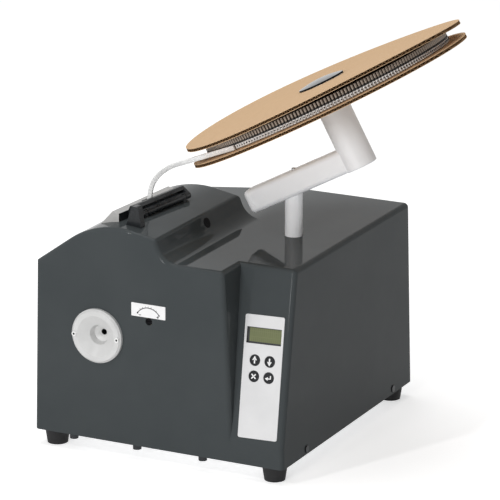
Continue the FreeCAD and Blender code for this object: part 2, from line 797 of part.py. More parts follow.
def entry_funnel():
    """Flanged funnel: a wide mouth, then a steep cup that narrows to the wire bore."""
    body = turned([
        (WIRE_BORE_R, -FUNNEL_SPOUT_L),
        (FUNNEL_SPOUT_R, -FUNNEL_SPOUT_L),
        (FUNNEL_SPOUT_R, -FUNNEL_SEAT_L),
        (FUNNEL_SEAT_R, -FUNNEL_SEAT_L),
        (FUNNEL_SEAT_R, 0),
        (FUNNEL_R, 0),
        (FUNNEL_R, FUNNEL_T - FUNNEL_BEVEL),
        (FUNNEL_R - FUNNEL_BEVEL, FUNNEL_T),
        (FUNNEL_LIP_R, FUNNEL_T),
        (FUNNEL_CUP_R, -FUNNEL_CUP_DEPTH),
        (FUNNEL_DISH_R, -FUNNEL_DISH_DEPTH),
        (FUNNEL_NECK_R, -FUNNEL_NECK_DEPTH),
        (WIRE_BORE_R, -FUNNEL_NECK_DEPTH - FUNNEL_NECK_R + WIRE_BORE_R),
    ])
    cuts = []
    for side in (-1, 1):
        at = Vector(side * FUNNEL_SCREW_REACH, 0, -1)
        cuts.append(rod(FUNNEL_SCREW_R + SCREW_GAP, 2 * FUNNEL_T, at))
    return placed(without(body, *cuts), FUNNEL_FRAME)


def funnel_screws():
    screws = []
    for side in (-1, 1):
        at = Vector(side * FUNNEL_SCREW_REACH, 0, FUNNEL_T)
        head = rod(FUNNEL_HEAD_R, FUNNEL_HEAD_H, at)
        length = FUNNEL_T + 2 * CASE_WALL
        shank = rod(FUNNEL_SCREW_R, length, at - UP * length)
        socket = rod(FUNNEL_SOCKET_R, FUNNEL_SOCKET_DEPTH, at + UP * (FUNNEL_HEAD_H - FUNNEL_SOCKET_DEPTH))
        screws.append(placed(joined(head, shank).cut(socket), FUNNEL_FRAME))
    return group(screws)


def scale_plate():
    return placed(slab(SCALE_W, SCALE_HIGH, SCALE_T, 0, SCALE_T), SCALE_FRAME)


def adjust_bush():
    bush = rod(ADJUST_BUSH_R, ADJUST_BUSH_L, Vector(0, 0, -CASE_WALL - ADJUST_BUSH_L))
    bore = rod(ADJUST_R + ADJUST_GAP, 2 * ADJUST_BUSH_L, Vector(0, 0, -2 * ADJUST_BUSH_L))
    return placed(bush.cut(bore), ADJUST_FRAME)


def adjust_screw():
    stem = rod(ADJUST_R, ADJUST_L, Vector(0, 0, -ADJUST_SINK - ADJUST_L))
    collar_top = -CASE_WALL - ADJUST_BUSH_L - RUN_GAP
    collar = rod(ADJUST_COLLAR_R, ADJUST_COLLAR_T, Vector(0, 0, collar_top - ADJUST_COLLAR_T))
    slot = centred_box(4 * ADJUST_R, ADJUST_SLOT_W, -ADJUST_SINK - ADJUST_SLOT_DEPTH, 0)
    return placed(joined(stem, collar).cut(slot), ADJUST_FRAME)


def control_panel():
    """Printed foil on a backing plate, with the display window and four key holes."""
    plate = slab(FOIL_W, FOIL_H, FOIL_CORNER_R, -FOIL_SUNK, FOIL_TOP)
    cuts = [centred_box(LCD_W, LCD_H, -FOIL_T, FOIL_T, 0, LCD_V)]
    for place in KEY_PLACES.values():
        cuts.append(rod(KEY_R + KEY_GAP, 2 * FOIL_T, place - UP * FOIL_T))
    return placed(without(plate, *cuts), PANEL_FRAME)


def display_window():
    width = LCD_W - 2 * LCD_GAP
    height = LCD_H - 2 * LCD_GAP
    low = -FOIL_SUNK - LENS_SUNK
    return placed(centred_box(width, height, low, low + LENS_T, 0, LCD_V), PANEL_FRAME)


def display_module():
    bezel_low = -FOIL_SUNK - LCD_BEZEL_T
    bezel = centred_box(LCD_BEZEL_W, LCD_BEZEL_H, bezel_low, -FOIL_SUNK, 0, LCD_V)
    well = centred_box(LCD_W, LCD_H, -FOIL_SUNK - LENS_SUNK, 0, 0, LCD_V)
    board = centred_box(KEYPAD_W, LCD_BOARD_H, bezel_low - BOARD_T, bezel_low, 0, LCD_V)
    return placed(joined(bezel, board).cut(well), PANEL_FRAME)


def keypad_board():
    board = centred_box(KEYPAD_W, KEYPAD_H, KEYPAD_TOP - BOARD_T, KEYPAD_TOP, 0, KEY_V)
    bits = []
    for place in KEY_PLACES.values():
        bits.append(centred_box(SWITCH_SIDE, SWITCH_SIDE, KEYPAD_TOP, SWITCH_TOP, place.x, place.y))
    post_u = KEYPAD_W / 2 - 2 * KEYPAD_POST_R
    post_v = KEYPAD_H / 2 - 2 * KEYPAD_POST_R
    for u in (-post_u, post_u):
        for v in (-post_v, post_v):
            bits.append(rod(KEYPAD_POST_R, -FOIL_SUNK - KEYPAD_TOP, Vector(u, KEY_V + v, KEYPAD_TOP)))
    return placed(joined(board, *bits), PANEL_FRAME)


def key(name):
    place = KEY_PLACES[name]
    cap = rod(KEY_R, FOIL_TOP + KEY_PROUD - LIP_LOW, place + UP * LIP_LOW)
    rim = [edge for edge in cap.Edges if edge.BoundBox.ZMin > FOIL_TOP]
    cap = cap.makeFillet(KEY_PROUD * 0.6, rim)
    lip = rod(KEY_R + KEY_GAP + KEY_LIP, KEY_LIP_T, place + UP * LIP_LOW)
    return placed(joined(cap, lip), PANEL_FRAME)


def outer_block():
    block = casing_body(0.0)
    block.translate(UP * FOOT_H)
    return block


def feed_guide():
    """Fixed cover left of the feed bar, seated on the dome and notched for the strip."""
    half = FEED_SLOT_W / 2
    right = half - COVER_CLEAR
    low = DOME_CREST_H - GUIDE_SKIRT
    top = DOME_CREST_H + COVER_RISE
    ends = []
    for y, left in ((-COVER_FRONT, -COVER_LEFT_FRONT), (FEED_BACK, -COVER_LEFT_BACK)):
        outline = [
            Vector(right, y, low),
            Vector(right, y, top - COVER_FALL),
            Vector(left, y, top),
            Vector(left - COVER_FOOT_W, y, low),
        ]
        ends.append(Part.makePolygon(outline + outline[:1]))
    cover = Part.makeLoft(ends, True, True)
    notch = box(-half, 2 * half, -SLOT_HALF_L, SLOT_HALF_L, low - 1, top + 1)
    return placed(cover.cut(notch), FEED_FRAME).cut(outer_block())


def feed_flap():
    """Hinged feed bar, which swings clear of the strip about its long pin."""
    pin = Vector(FLAP_PIN_X, -BAR_FRONT, FLAP_PIN_H)
    length = BAR_FRONT + FEED_BACK
    tangent = math.radians(BAR_SIDE_DEG)
    bar = prism([
        Vector(BAR_LEFT, -BAR_FRONT, BAR_LOW),
        Vector(BAR_LEFT, -BAR_FRONT, FEED_H - BAR_LEAD_H),
        Vector(BAR_LEFT + BAR_LEAD, -BAR_FRONT, FEED_H),
        Vector(BAR_LEFT + BAR_TOP_W, -BAR_FRONT, FEED_H),
        pin + Vector(math.sin(tangent), 0, math.cos(tangent)) * BARREL_R,
        pin,
        pin - UP * BARREL_R,
    ], BACK * length)
    barrel = rod(BARREL_R, length, pin, BACK)
    cuts = [rod(FLAP_PIN_R + FLAP_PIN_GAP, length, pin, BACK)]
    reach = LUG_R + 2 * FLAP_CLEAR
    for y in LUG_YS:
        notch = rod(reach, LUG_T + 2 * FLAP_CLEAR, Vector(FLAP_PIN_X, y - FLAP_CLEAR, FLAP_PIN_H), BACK)
        open_side = box(
            FLAP_PIN_X - reach, FLAP_PIN_X + 2 * reach, y - FLAP_CLEAR, y + LUG_T + FLAP_CLEAR,
            BAR_LOW - 1, FLAP_PIN_H,
        )
        cuts += [notch, open_side]
    groove_z = FEED_H - BAR_GROOVE_DROP
    groove_y0 = -BAR_FRONT + BAR_GROOVE_INSET
    groove_y1 = FEED_BACK - BAR_GROOVE_INSET
    groove_x0 = BAR_LEFT + BAR_TOP_W
    groove = box(groove_x0, FLAP_PIN_X, groove_y0, groove_y1, groove_z - BAR_GROOVE_W, groove_z)
    flap = without(joined(bar, barrel), *cuts, groove)
    return placed(flap, FEED_FRAME)


def flap_hinge():
    """Long hinge pin carried by two posts that stand on the dome."""
    start = LUG_YS[0]
    length = LUG_YS[-1] + LUG_T - start
    pieces = [rod(FLAP_PIN_R, length, Vector(FLAP_PIN_X, start, FLAP_PIN_H), BACK)]
    low = DOME_CREST_H - GUIDE_SKIRT
    for y in LUG_YS:
        pieces.append(rod(LUG_R, LUG_T, Vector(FLAP_PIN_X, y, FLAP_PIN_H), BACK))
        pieces.append(box(FLAP_PIN_X - LUG_R, FLAP_PIN_X + LUG_R, y, y + LUG_T, low, FLAP_PIN_H))
    return placed(joined(*pieces), FEED_FRAME).cut(outer_block())


def feed_end_stop():
    """Upright fin at the front of the channel."""
    low = DOME_CREST_H - GUIDE_SKIRT
    fin = prism([
        Vector(FIN_X - FIN_FOOT_W / 2, FIN_Y, low),
        Vector(FIN_X - FIN_FOOT_W / 2, FIN_Y, DOME_CREST_H),
        Vector(FIN_X + FIN_LEAN - FIN_TOP_W / 2, FIN_Y, FIN_H),
        Vector(FIN_X + FIN_LEAN + FIN_TOP_W / 2, FIN_Y, FIN_H),
        Vector(FIN_X + FIN_FOOT_W / 2, FIN_Y, DOME_CREST_H),
        Vector(FIN_X + FIN_FOOT_W / 2, FIN_Y, low),
    ], BACK * FIN_T)
    along = [edge for edge in fin.Edges if edge.BoundBox.YLength > FIN_T / 2]
    top = [edge for edge in along if edge.BoundBox.ZMin > FIN_H - 1]
    fin = fin.makeFillet(FIN_TOP_W * 0.45, top)
    fin.translate(UP * FOOT_H)
    return fin.cut(outer_block())


def wall_plug():
    head = rod(PLUG_R, PLUG_HEAD_T, Vector(0, 0, 0))
    shank = rod(PLUG_SHANK_R, PLUG_L, Vector(0, 0, -PLUG_L))
    return placed(joined(head, shank), PLUG_FRAME)


SOCKET_TOP = high(CASE_H - CASE_WALL)


def post_socket():
    column = rod(SOCKET_R, SOCKET_TOP - BASE_TOP, Vector(POST_X, POST_Y, BASE_TOP))
    flange = rod(SOCKET_FLANGE_R, SOCKET_FLANGE_T, Vector(POST_X, POST_Y, BASE_TOP))
    bore = rod(POST_R + POST_GAP, SOCKET_DEPTH, Vector(POST_X, POST_Y, SOCKET_TOP - SOCKET_DEPTH))
    return joined(column, flange).cut(bore)


def post_rod(grow):
    low = Vector(POST_X, POST_Y, SOCKET_TOP - SOCKET_DEPTH)
    return rod(POST_R + grow, POST_TOP.z + POST_IN_ARM - low.z, low)


def clamp_rod(grow):
    top = POST_TOP + UP * (ARM_HIGH / 2 / math.cos(math.radians(ARM_TILT_DEG)))
    return rod(CLAMP_R + grow, CLAMP_L, top - UP * CLAMP_L)


def reel_post():
    return post_rod(0).cut(clamp_rod(SCREW_GAP))


def clamp_screw():
    shank = clamp_rod(0)
    top = Vector(POST_X, POST_Y, shank.BoundBox.ZMax)
    head = rod(CLAMP_HEAD_R, CLAMP_HEAD_H, top)
    return joined(shank, head).cut(swing_arm_block())


def swing_arm_block():
    """Rounded bar along the arm, hollowed for the post, the clamp screw and the spindle housing."""
    left = -ARM_REACH - ARM_TAIL
    bar = box(left, 0, -ARM_THICK / 2, ARM_THICK / 2, -ARM_HIGH / 2, ARM_HIGH / 2)
    rounded = [edge for edge in bar.Edges if edge.BoundBox.XMin < -1]
    bar = bar.makeFillet(ARM_EDGE_R, rounded)
    bar = bar.cut(rod(HOUSING_R, 2 * ARM_HIGH, Vector(0, 0, -ARM_HIGH)))
    at = Vector(left + DIMPLE_INSET, -ARM_THICK / 2 + DIMPLE_DEPTH, 0)
    ring = rod(DIMPLE_R, DIMPLE_DEPTH, at, Vector(0, -1, 0))
    bar = bar.cut(ring)
    return without(placed(bar, REEL_FRAME), post_rod(POST_GAP), clamp_rod(SCREW_GAP))


def spindle_housing():
    low = -ARM_HIGH / 2
    body = rod(HOUSING_R, HOUSING_TOP - low, Vector(0, 0, low))
    rim = [edge for edge in body.Edges if edge.BoundBox.ZMax < low + 1]
    body = body.makeFillet(HOUSING_EDGE_R, rim)
    bore = rod(SPINDLE_R, SPINDLE_SINK, Vector(0, 0, HOUSING_TOP - SPINDLE_SINK))
    return placed(body.cut(bore), REEL_FRAME)


def reel_spindle():
    low = HOUSING_TOP - SPINDLE_SINK
    high_end = REEL_TOP + CAP_RECESS - REEL_CLEAR
    return placed(rod(SPINDLE_R, high_end - low, Vector(0, 0, low)), REEL_FRAME)


def ring(outer, inner, z0, z1):
    return rod(outer, z1 - z0, Vector(0, 0, z0)).cut(rod(inner, z1 - z0, Vector(0, 0, z0)))


def reel_hub():
    return placed(ring(HUB_R, SPINDLE_R + SPINDLE_GAP, REEL_LOW, REEL_TOP), REEL_FRAME)


def hub_cap():
    """Domed cap with a low rim, over the hub and the end of the spindle."""
    rise = CAP_H - CAP_RIM_H
    sphere_r = (CAP_R ** 2 + rise ** 2) / (2 * rise)
    ball = Part.makeSphere(sphere_r, Vector(0, 0, REEL_TOP + CAP_H - sphere_r))
    keep = rod(CAP_R, CAP_H + 1, Vector(0, 0, REEL_TOP))
    recess = rod(SPINDLE_R + REEL_CLEAR, CAP_RECESS, Vector(0, 0, REEL_TOP))
    return placed(ball.common(keep).cut(recess), REEL_FRAME)


def reel_core():
    return placed(ring(CORE_R, HUB_R + HUB_GAP, GAP_LOW, GAP_HIGH), REEL_FRAME)


def lower_flange():
    return placed(ring(REEL_R, HUB_R + HUB_GAP, REEL_LOW, GAP_LOW), REEL_FRAME)


def upper_flange():
    return placed(ring(REEL_R, HUB_R + HUB_GAP, GAP_HIGH, REEL_TOP), REEL_FRAME)


def wound_strip():
    """Inner turns of the ferrule strip, as one plain core."""
    return placed(ring(WIND_R - TURN_T, CORE_R, GAP_LOW + WIND_CLEAR, GAP_HIGH - WIND_CLEAR), REEL_FRAME)


def least_gap(points, apart):
    """Least distance between points of a line that lie at least so many steps apart."""
    pairs = ((a, b) for i, a in enumerate(points) for b in points[i + apart:])
    return min((a - b).Length for a, b in pairs)


def outer_turn():
    """Outer turn of the strip, one unbroken band that ends where the free stretch leaves."""
    middle = Vector(WIND_R - TURN_T / 2, 0, 0)
    steps = range(0, int(360 - TURN_OPEN_DEG) + 1, 2)
    line = [Rotation(UP, degree).multVec(middle) for degree in steps]
    print("outer turn, least gap to itself", round(least_gap(line, len(line) // 2), 1))
    z0 = GAP_LOW + WIND_CLEAR
    section = box(WIND_R - TURN_T, WIND_R, 0, 1, z0, GAP_HIGH - WIND_CLEAR)
    face = min(section.Faces, key=lambda f: f.CenterOfMass.y)
    band = face.revolve(Vector(0, 0, 0), UP, 360 - TURN_OPEN_DEG)
    band = placed(band, Placement(Vector(), Rotation(UP, STRIP_LEAVE_DEG)))
    return placed(band, REEL_FRAME)


def strip_route():
    leave = math.radians(STRIP_LEAVE_DEG)
    reach = WIND_R + STRIP_CLEAR + STRIP_R
    start = REEL_FRAME.multVec(Vector(reach * math.cos(leave), reach * math.sin(leave), STRIP_LEVEL))
    route = [start] + [Vector(x, y, high(z)) for x, y, z in STRIP_POINTS]
    return route + [route[-1] - UP * STRIP_END_DROP]


def rounded_path(points, share):
    """Straight runs joined by tangent arcs, each as large as its two runs allow."""
    edges = []
    radii = []
    at = points[0]
    for before, corner, after in zip(points, points[1:], points[2:]):
        into = (corner - before).normalize()
        out = (after - corner).normalize()
        trim = share * min((corner - before).Length, (after - corner).Length)
        half = into.getAngle(out) / 2
        radius = trim / math.tan(half)
        radii.append(round(radius, 1))
        first = corner - into * trim
        last = corner + out * trim
        inward = (out - into).normalize()
        middle = corner + inward * (radius / math.cos(half) - radius)
        edges.append(Part.LineSegment(at, first).toShape())
        edges.append(Part.Arc(first, middle, last).toShape())
        at = last
    edges.append(Part.LineSegment(at, points[-1]).toShape())
    return Part.Wire(edges), radii


def ferrule_strip():
    points = strip_route()
    path, radii = rounded_path(points, STRIP_TURN_SHARE)
    along = (points[1] - points[0]).normalize()
    circle = Part.Wire([Part.makeCircle(STRIP_R, points[0], along)])
    tube = path.makePipeShell([circle], True, True)
    full = math.pi * STRIP_R ** 2 * path.Length
    print("strip length", round(path.Length, 1), "bend radii", radii)
    print("strip volume share", round(tube.Volume / full, 4))
    return tube


def tool_back_plate():
    return box(FRAME_X0, FRAME_X1, FRAME_Y1, FRAME_Y1 + PLATE_T, BASE_TOP, SHELF_HIGH_Z + PLATE_T)


def lower_shelf():
    shelf = box(FRAME_X0, FRAME_X1, FRAME_Y0, FRAME_Y1, SHELF_LOW_Z, SHELF_LOW_Z + PLATE_T)
    cuts = [rod(BUSH_R, PLATE_T, Vector(SPINDLE_X, TOOL_Y, SHELF_LOW_Z))]
    cuts += [rod(ROD_R, PLATE_T, Vector(x, TOOL_Y, SHELF_LOW_Z)) for x in ROD_XS]
    return without(shelf, *cuts)


def upper_shelf():
    shelf = box(FRAME_X0, MOTOR_SHELF_X1, FRAME_Y0, FRAME_Y1, SHELF_HIGH_Z, SHELF_HIGH_Z + PLATE_T)
    cuts = [rod(BUSH_R, PLATE_T, Vector(SPINDLE_X, TOOL_Y, SHELF_HIGH_Z))]
    cuts += [rod(ROD_R, PLATE_T, Vector(x, TOOL_Y, SHELF_HIGH_Z)) for x in ROD_XS]
    cuts.append(rod(PINION_SHAFT_R + SHAFT_HOLE_GAP, PLATE_T, Vector(MOTOR_X, TOOL_Y, SHELF_HIGH_Z)))
    return without(shelf, *cuts)


def guide_rods():
    length = SHELF_HIGH_Z + PLATE_T - SHELF_LOW_Z
    return group([rod(ROD_R, length, Vector(x, TOOL_Y, SHELF_LOW_Z)) for x in ROD_XS])


def spindle_bushes():
    bushes = []
    for z in (SHELF_LOW_Z, SHELF_HIGH_Z):
        bush = rod(BUSH_R, PLATE_T, Vector(SPINDLE_X, TOOL_Y, z))
        bushes.append(bush.cut(rod(SCREW_R + SCREW_GAP_R, PLATE_T, Vector(SPINDLE_X, TOOL_Y, z))))
    return group(bushes)


def crimp_screw():
    """Upright screw with right and left hand halves that closes the two jaws."""
    low = SHELF_LOW_Z - COLLAR_T - RUN_GAP
    top = GEAR_Z + GEAR_T
    stem = rod(SCREW_R, top - low, Vector(SPINDLE_X, TOOL_Y, low))
    collar = rod(COLLAR_R, COLLAR_T, Vector(SPINDLE_X, TOOL_Y, low))
    return joined(stem, collar)


def gear_blank(teeth, bore, height, phase):
    """Spur gear about the local Z axis, with straight sided teeth that run with backlash."""
    pitch_r = GEAR_MODULE * teeth / 2
    tip_r = pitch_r + 0.85 * GEAR_MODULE
    root_r = pitch_r - 1.2 * GEAR_MODULE
    step = 2 * math.pi / teeth
    points = []
    for tooth in range(teeth):
        mid = (tooth + phase) * step
        for radius, share in ((root_r, -0.32), (tip_r, -0.12), (tip_r, 0.12), (root_r, 0.32)):
            angle = mid + share * step
            points.append(Vector(radius * math.cos(angle), radius * math.sin(angle), 0))
    gear = prism(points, UP * height)
    return gear.cut(rod(bore, height, Vector(0, 0, 0)))


def screw_gear():
    gear = gear_blank(GEAR_TEETH, SCREW_R, GEAR_T, 0.5)
    gear.translate(Vector(SPINDLE_X, TOOL_Y, GEAR_Z))
    return gear


def motor_pinion():
    """Pinion on the motor's shaft, which runs down through the shelf."""
    pinion = gear_blank(PINION_TEETH, PINION_SHAFT_R, GEAR_T, 0.0)
    shaft_low = SHELF_HIGH_Z + RUN_GAP - GEAR_Z
    shaft = rod(PINION_SHAFT_R, GEAR_T - shaft_low, Vector(0, 0, shaft_low))
    whole = joined(pinion, shaft)
    whole.translate(Vector(MOTOR_X, TOOL_Y, GEAR_Z))
    return whole


def gear_motor():
    return rod(MOTOR_R, MOTOR_L, Vector(MOTOR_X, TOOL_Y, SHELF_HIGH_Z - MOTOR_L))


def jaw(upper):
    side = 1 if upper else -1
    near = WIRE_Z + side * JAW_OPEN
    far = near + side * JAW_HIGH
    z0, z1 = sorted((near, far))
    half = JAW_DEPTH / 2
    block = box(FRAME_X0 + JAW_SIDE, FRAME_X1 - JAW_SIDE, TOOL_Y - half, TOOL_Y + half, z0, z1)
    cuts = [rod(SCREW_R + SCREW_GAP_R, JAW_HIGH, Vector(SPINDLE_X, TOOL_Y, z0))]
    cuts += [rod(ROD_R + ROD_GAP, JAW_HIGH, Vector(x, TOOL_Y, z0)) for x in ROD_XS]
    block = without(block, *cuts)
    tip = WIRE_Z + side * (JAW_STROKE + DIE_FACE)
    d0, d1 = sorted((tip, near))
    die = box(WIRE_X - DIE_W / 2, WIRE_X + DIE_W / 2, TOOL_Y - DIE_L / 2, TOOL_Y + DIE_L / 2, d0, d1)
    return joined(block, die)


def blade(upper):
    """Stripping blade with a V notch, screwed to the front of its jaw."""
    side = 1 if upper else -1
    edge = WIRE_Z + side * (JAW_STROKE + BLADE_EDGE)
    tail = WIRE_Z + side * (JAW_OPEN + JAW_HIGH * 0.7)
    y = TOOL_Y - JAW_DEPTH / 2 - BLADE_T
    half = BLADE_W / 2
    return prism([
        Vector(WIRE_X - half, y, edge),
        Vector(WIRE_X - BLADE_NOTCH, y, edge),
        Vector(WIRE_X, y, edge + side * BLADE_NOTCH),
        Vector(WIRE_X + BLADE_NOTCH, y, edge),
        Vector(WIRE_X + half, y, edge),
        Vector(WIRE_X + half, y, tail),
        Vector(WIRE_X - half, y, tail),
    ], BACK * BLADE_T)


WHEEL_OFFSET = STRIP_R + WHEEL_GAP + WHEEL_R
WHEEL_MID = Vector(FEED_X + WHEEL_OFFSET, FEED_Y, high(DOME_CREST_H - WHEEL_DROP))
FEED_PLATE_Y = WHEEL_MID.y + WHEEL_T / 2 + FEED_PLATE_GAP


def feed_wheel():
    """Notched wheel that draws the strip down, with its motor shaft."""
    front = WHEEL_MID - BACK * (WHEEL_T / 2)
    wheel = rod(WHEEL_R, WHEEL_T, front, BACK)
    notches = []
    for tooth in range(WHEEL_TEETH):
        angle = 2 * math.pi * (tooth + 0.5) / WHEEL_TEETH
        at = front + Vector(math.cos(angle), 0, math.sin(angle)) * WHEEL_R
        notches.append(rod(WHEEL_NOTCH_R, WHEEL_T, at, BACK))
    shaft = rod(WHEEL_SHAFT_R, WHEEL_T + FEED_PLATE_GAP + FEED_PLATE_T - RUN_GAP, front, BACK)
    return joined(without(wheel, *notches), shaft)


def feed_plate():
    """Upright plate on the back of the tool frame that carries the feed motor."""
    half = FEED_PLATE_SIDE / 2
    low = SHELF_HIGH_Z - 2 * PLATE_T
    top = WHEEL_MID.z + FEED_PLATE_RISE
    x0 = WHEEL_MID.x - half
    y1 = FEED_PLATE_Y + FEED_PLATE_T
    plate = box(x0, WHEEL_MID.x + half, FEED_PLATE_Y, y1, low, top)
    foot = box(x0, FRAME_X1, FRAME_Y1 + PLATE_T, y1, low, low + PLATE_T)
    middle = Vector(WHEEL_MID.x, FEED_PLATE_Y, WHEEL_MID.z)
    hole = rod(WHEEL_SHAFT_R + SHAFT_HOLE_GAP, FEED_PLATE_T, middle, BACK)
    return joined(plate, foot).cut(hole)


def feed_motor():
    half = FEED_MOTOR_SIDE / 2
    y = FEED_PLATE_Y + FEED_PLATE_T
    top = WHEEL_MID.z + FEED_PLATE_RISE
    return box(WHEEL_MID.x - half, WHEEL_MID.x + half, y, y + FEED_MOTOR_L, top - FEED_MOTOR_SIDE, top)


def main_board():
    z = BASE_TOP + SPACER_H
    board = box(CARD_X0, CARD_X0 + CARD_W, CARD_Y0, CARD_Y0 + CARD_D, z, z + BOARD_T)
    top = z + BOARD_T
    bits = []
    for share in (0.2, 0.4, 0.6, 0.8):
        at = Vector(CARD_X0 + share * CARD_W, CARD_Y0 + CARD_D / 2, top)
        bits.append(rod(CAPACITOR_R, CAPACITOR_H, at))
    return joined(board, *bits)


def board_spacers():
    spacers = []
    for x in (CARD_X0 + SPACER_INSET, CARD_X0 + CARD_W - SPACER_INSET):
        for y in (CARD_Y0 + SPACER_INSET, CARD_Y0 + CARD_D - SPACER_INSET):
            spacers.append(rod(SPACER_R, SPACER_H, Vector(x, y, BASE_TOP)))
    return group(spacers)


def power_supply():
    corner = Vector(SUPPLY_X0, SUPPLY_Y0, BASE_TOP)
    return Part.makeBox(SUPPLY_W, SUPPLY_D, SUPPLY_H, corner)


def mains_inlet():
    """Flanged appliance inlet with three flat pins."""
    flange = centred_box(INLET_W + 2 * INLET_FLANGE, INLET_H + 2 * INLET_FLANGE, 0, INLET_FLANGE_T)
    body = centred_box(INLET_W - 2 * SCREW_GAP, INLET_H - 2 * SCREW_GAP, -INLET_DEPTH, 0)
    floor = INLET_FLANGE_T - PLUG_DEPTH
    well = centred_box(SOCKET_W, SOCKET_H, floor, INLET_FLANGE_T)
    pins = [centred_box(PIN_W, PIN_H, floor, floor + PIN_L, 0, PIN_RISE)]
    for side in (-1, 1):
        pins.append(centred_box(PIN_W, PIN_H, floor, floor + PIN_L, side * PIN_PITCH, -PIN_RISE))
    return placed(joined(joined(flange, body).cut(well), *pins), INLET_FRAME)


def switch_housing():
    """Frame and well of the rocker switch, with its cross pin."""
    frame = centred_box(ROCKER_W + 2 * ROCKER_RIM, ROCKER_H + 2 * ROCKER_RIM, 0, ROCKER_RIM)
    body = centred_box(ROCKER_W - 2 * SCREW_GAP, ROCKER_H - 2 * SCREW_GAP, -ROCKER_DEPTH, 0)
    well_w = ROCKER_W - 2 * ROCKER_WALL
    well_h = ROCKER_H - 2 * ROCKER_WALL
    well = centred_box(well_w, well_h, ROCKER_WALL - ROCKER_DEPTH, ROCKER_RIM)
    pin_l = ROCKER_W - ROCKER_WALL
    pin = rod(ROCKER_PIN_R, pin_l, Vector(-pin_l / 2, 0, -ROCKER_SINK), ACROSS)
    return placed(joined(joined(frame, body).cut(well), pin), ROCKER_PLACE)


def power_rocker():
    """Rocker that rests tipped to its off side."""
    half_w = ROCKER_W / 2 - ROCKER_WALL - ROCKER_GAP
    half_h = ROCKER_H / 2 - ROCKER_WALL - ROCKER_SIDE_GAP
    x = -half_w
    top = ROCKER_RIM + ROCKER_PROUD
    body = prism([
        Vector(x, -half_h, 0),
        Vector(x, -half_h, top),
        Vector(x, 0, top - ROCKER_DISH),
        Vector(x, half_h, top),
        Vector(x, half_h, 0),
        Vector(x, 0, -2 * ROCKER_SINK),
    ], ACROSS * (2 * half_w))
    bore = rod(ROCKER_PIN_R + ROCKER_PIN_GAP, 2 * half_w, Vector(x, 0, -ROCKER_SINK), ACROSS)
    pivot = Vector(0, 0, -ROCKER_SINK)
    tipped = Placement(Vector(), Rotation(ACROSS, -ROCKER_DEG), pivot)
    return placed(placed(body.cut(bore), tipped), ROCKER_PLACE)


NODES = {
    "casing": casing,
    "base_plate": base_plate,
    "rubber_feet": rubber_feet,
    "foot_screws": foot_screws,
    "base_screws": base_screws,
    "side_screws": side_screws,
    "entry_funnel": entry_funnel,
    "funnel_screws": funnel_screws,
    "scale_plate": scale_plate,
    "adjust_bush": adjust_bush,
    "adjust_screw": adjust_screw,
    "control_panel": control_panel,
    "display_window": display_window,
    "display_module": display_module,
    "keypad_board": keypad_board,
    "feed_guide": feed_guide,
    "feed_flap": feed_flap,
    "flap_hinge": flap_hinge,
    "feed_end_stop": feed_end_stop,
    "wall_plug": wall_plug,
    "post_socket": post_socket,
    "reel_post": reel_post,
    "swing_arm": swing_arm_block,
    "clamp_screw": clamp_screw,
    "spindle_housing": spindle_housing,
    "reel_spindle": reel_spindle,
    "reel_hub": reel_hub,
    "hub_cap": hub_cap,
    "reel_core": reel_core,
    "lower_flange": lower_flange,
    "upper_flange": upper_flange,
    "wound_strip": wound_strip,
    "outer_turn": outer_turn,
    "ferrule_strip": ferrule_strip,
    "tool_back_plate": tool_back_plate,
    "lower_shelf": lower_shelf,
    "upper_shelf": upper_shelf,
    "guide_rods": guide_rods,
    "spindle_bushes": spindle_bushes,
    "crimp_screw": crimp_screw,
    "screw_gear": screw_gear,
    "motor_pinion": motor_pinion,
    "gear_motor": gear_motor,
    "jaw_upper": lambda: jaw(True),
    "jaw_lower": lambda: jaw(False),
    "blade_upper": lambda: blade(True),
    "blade_lower": lambda: blade(False),
    "feed_wheel": feed_wheel,
    "feed_plate": feed_plate,
    "feed_motor": feed_motor,
    "main_board": main_board,
    "board_spacers": board_spacers,
    "power_supply": power_supply,
    "mains_inlet": mains_inlet,
    "switch_housing": switch_housing,
    "power_rocker": power_rocker,
}
for key_name in KEY_PLACES:
    NODES[key_name] = lambda name=key_name: key(name)
CORD_NODES = ("ferrule_strip",)


def build_all():
    return {name: make() for name, make in NODES.items()}


def centring_shift(shapes):
    """Move that puts the middle of the whole's underside at the origin."""
    whole = FreeCAD.BoundBox()
    for name, shape in shapes.items():
        if name not in CORD_NODES:
            whole.add(shape.optimalBoundingBox(False, False))
    return Vector(-whole.Center.x, -whole.Center.y, -whole.ZMin)


def main():
    os.makedirs("parts", exist_ok=True)
    shapes = build_all()
    shift = centring_shift(shapes)
    for name, shape in shapes.items():
        shape.translate(shift)
        shape.exportStep("parts/" + name + ".step")
    print("nodes", len(shapes), "shift", [round(value, 4) for value in shift])


if __name__ == "__main__":
    main()
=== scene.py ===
# %% [markdown]
# # A wire ferrule crimping machine, dressed from its CAD frame
#
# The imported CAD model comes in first, as a frame that never moves. Everything below either puts a
# better surface on one of its pieces or builds a soft or wound piece that takes the place of a plain one.
# Lengths are in metres in the CAD's own axes: X to the operator's right, Y to the back, Z up.

# %% Load the frame
import json
import math

import bpy
from mathutils import Matrix, Vector


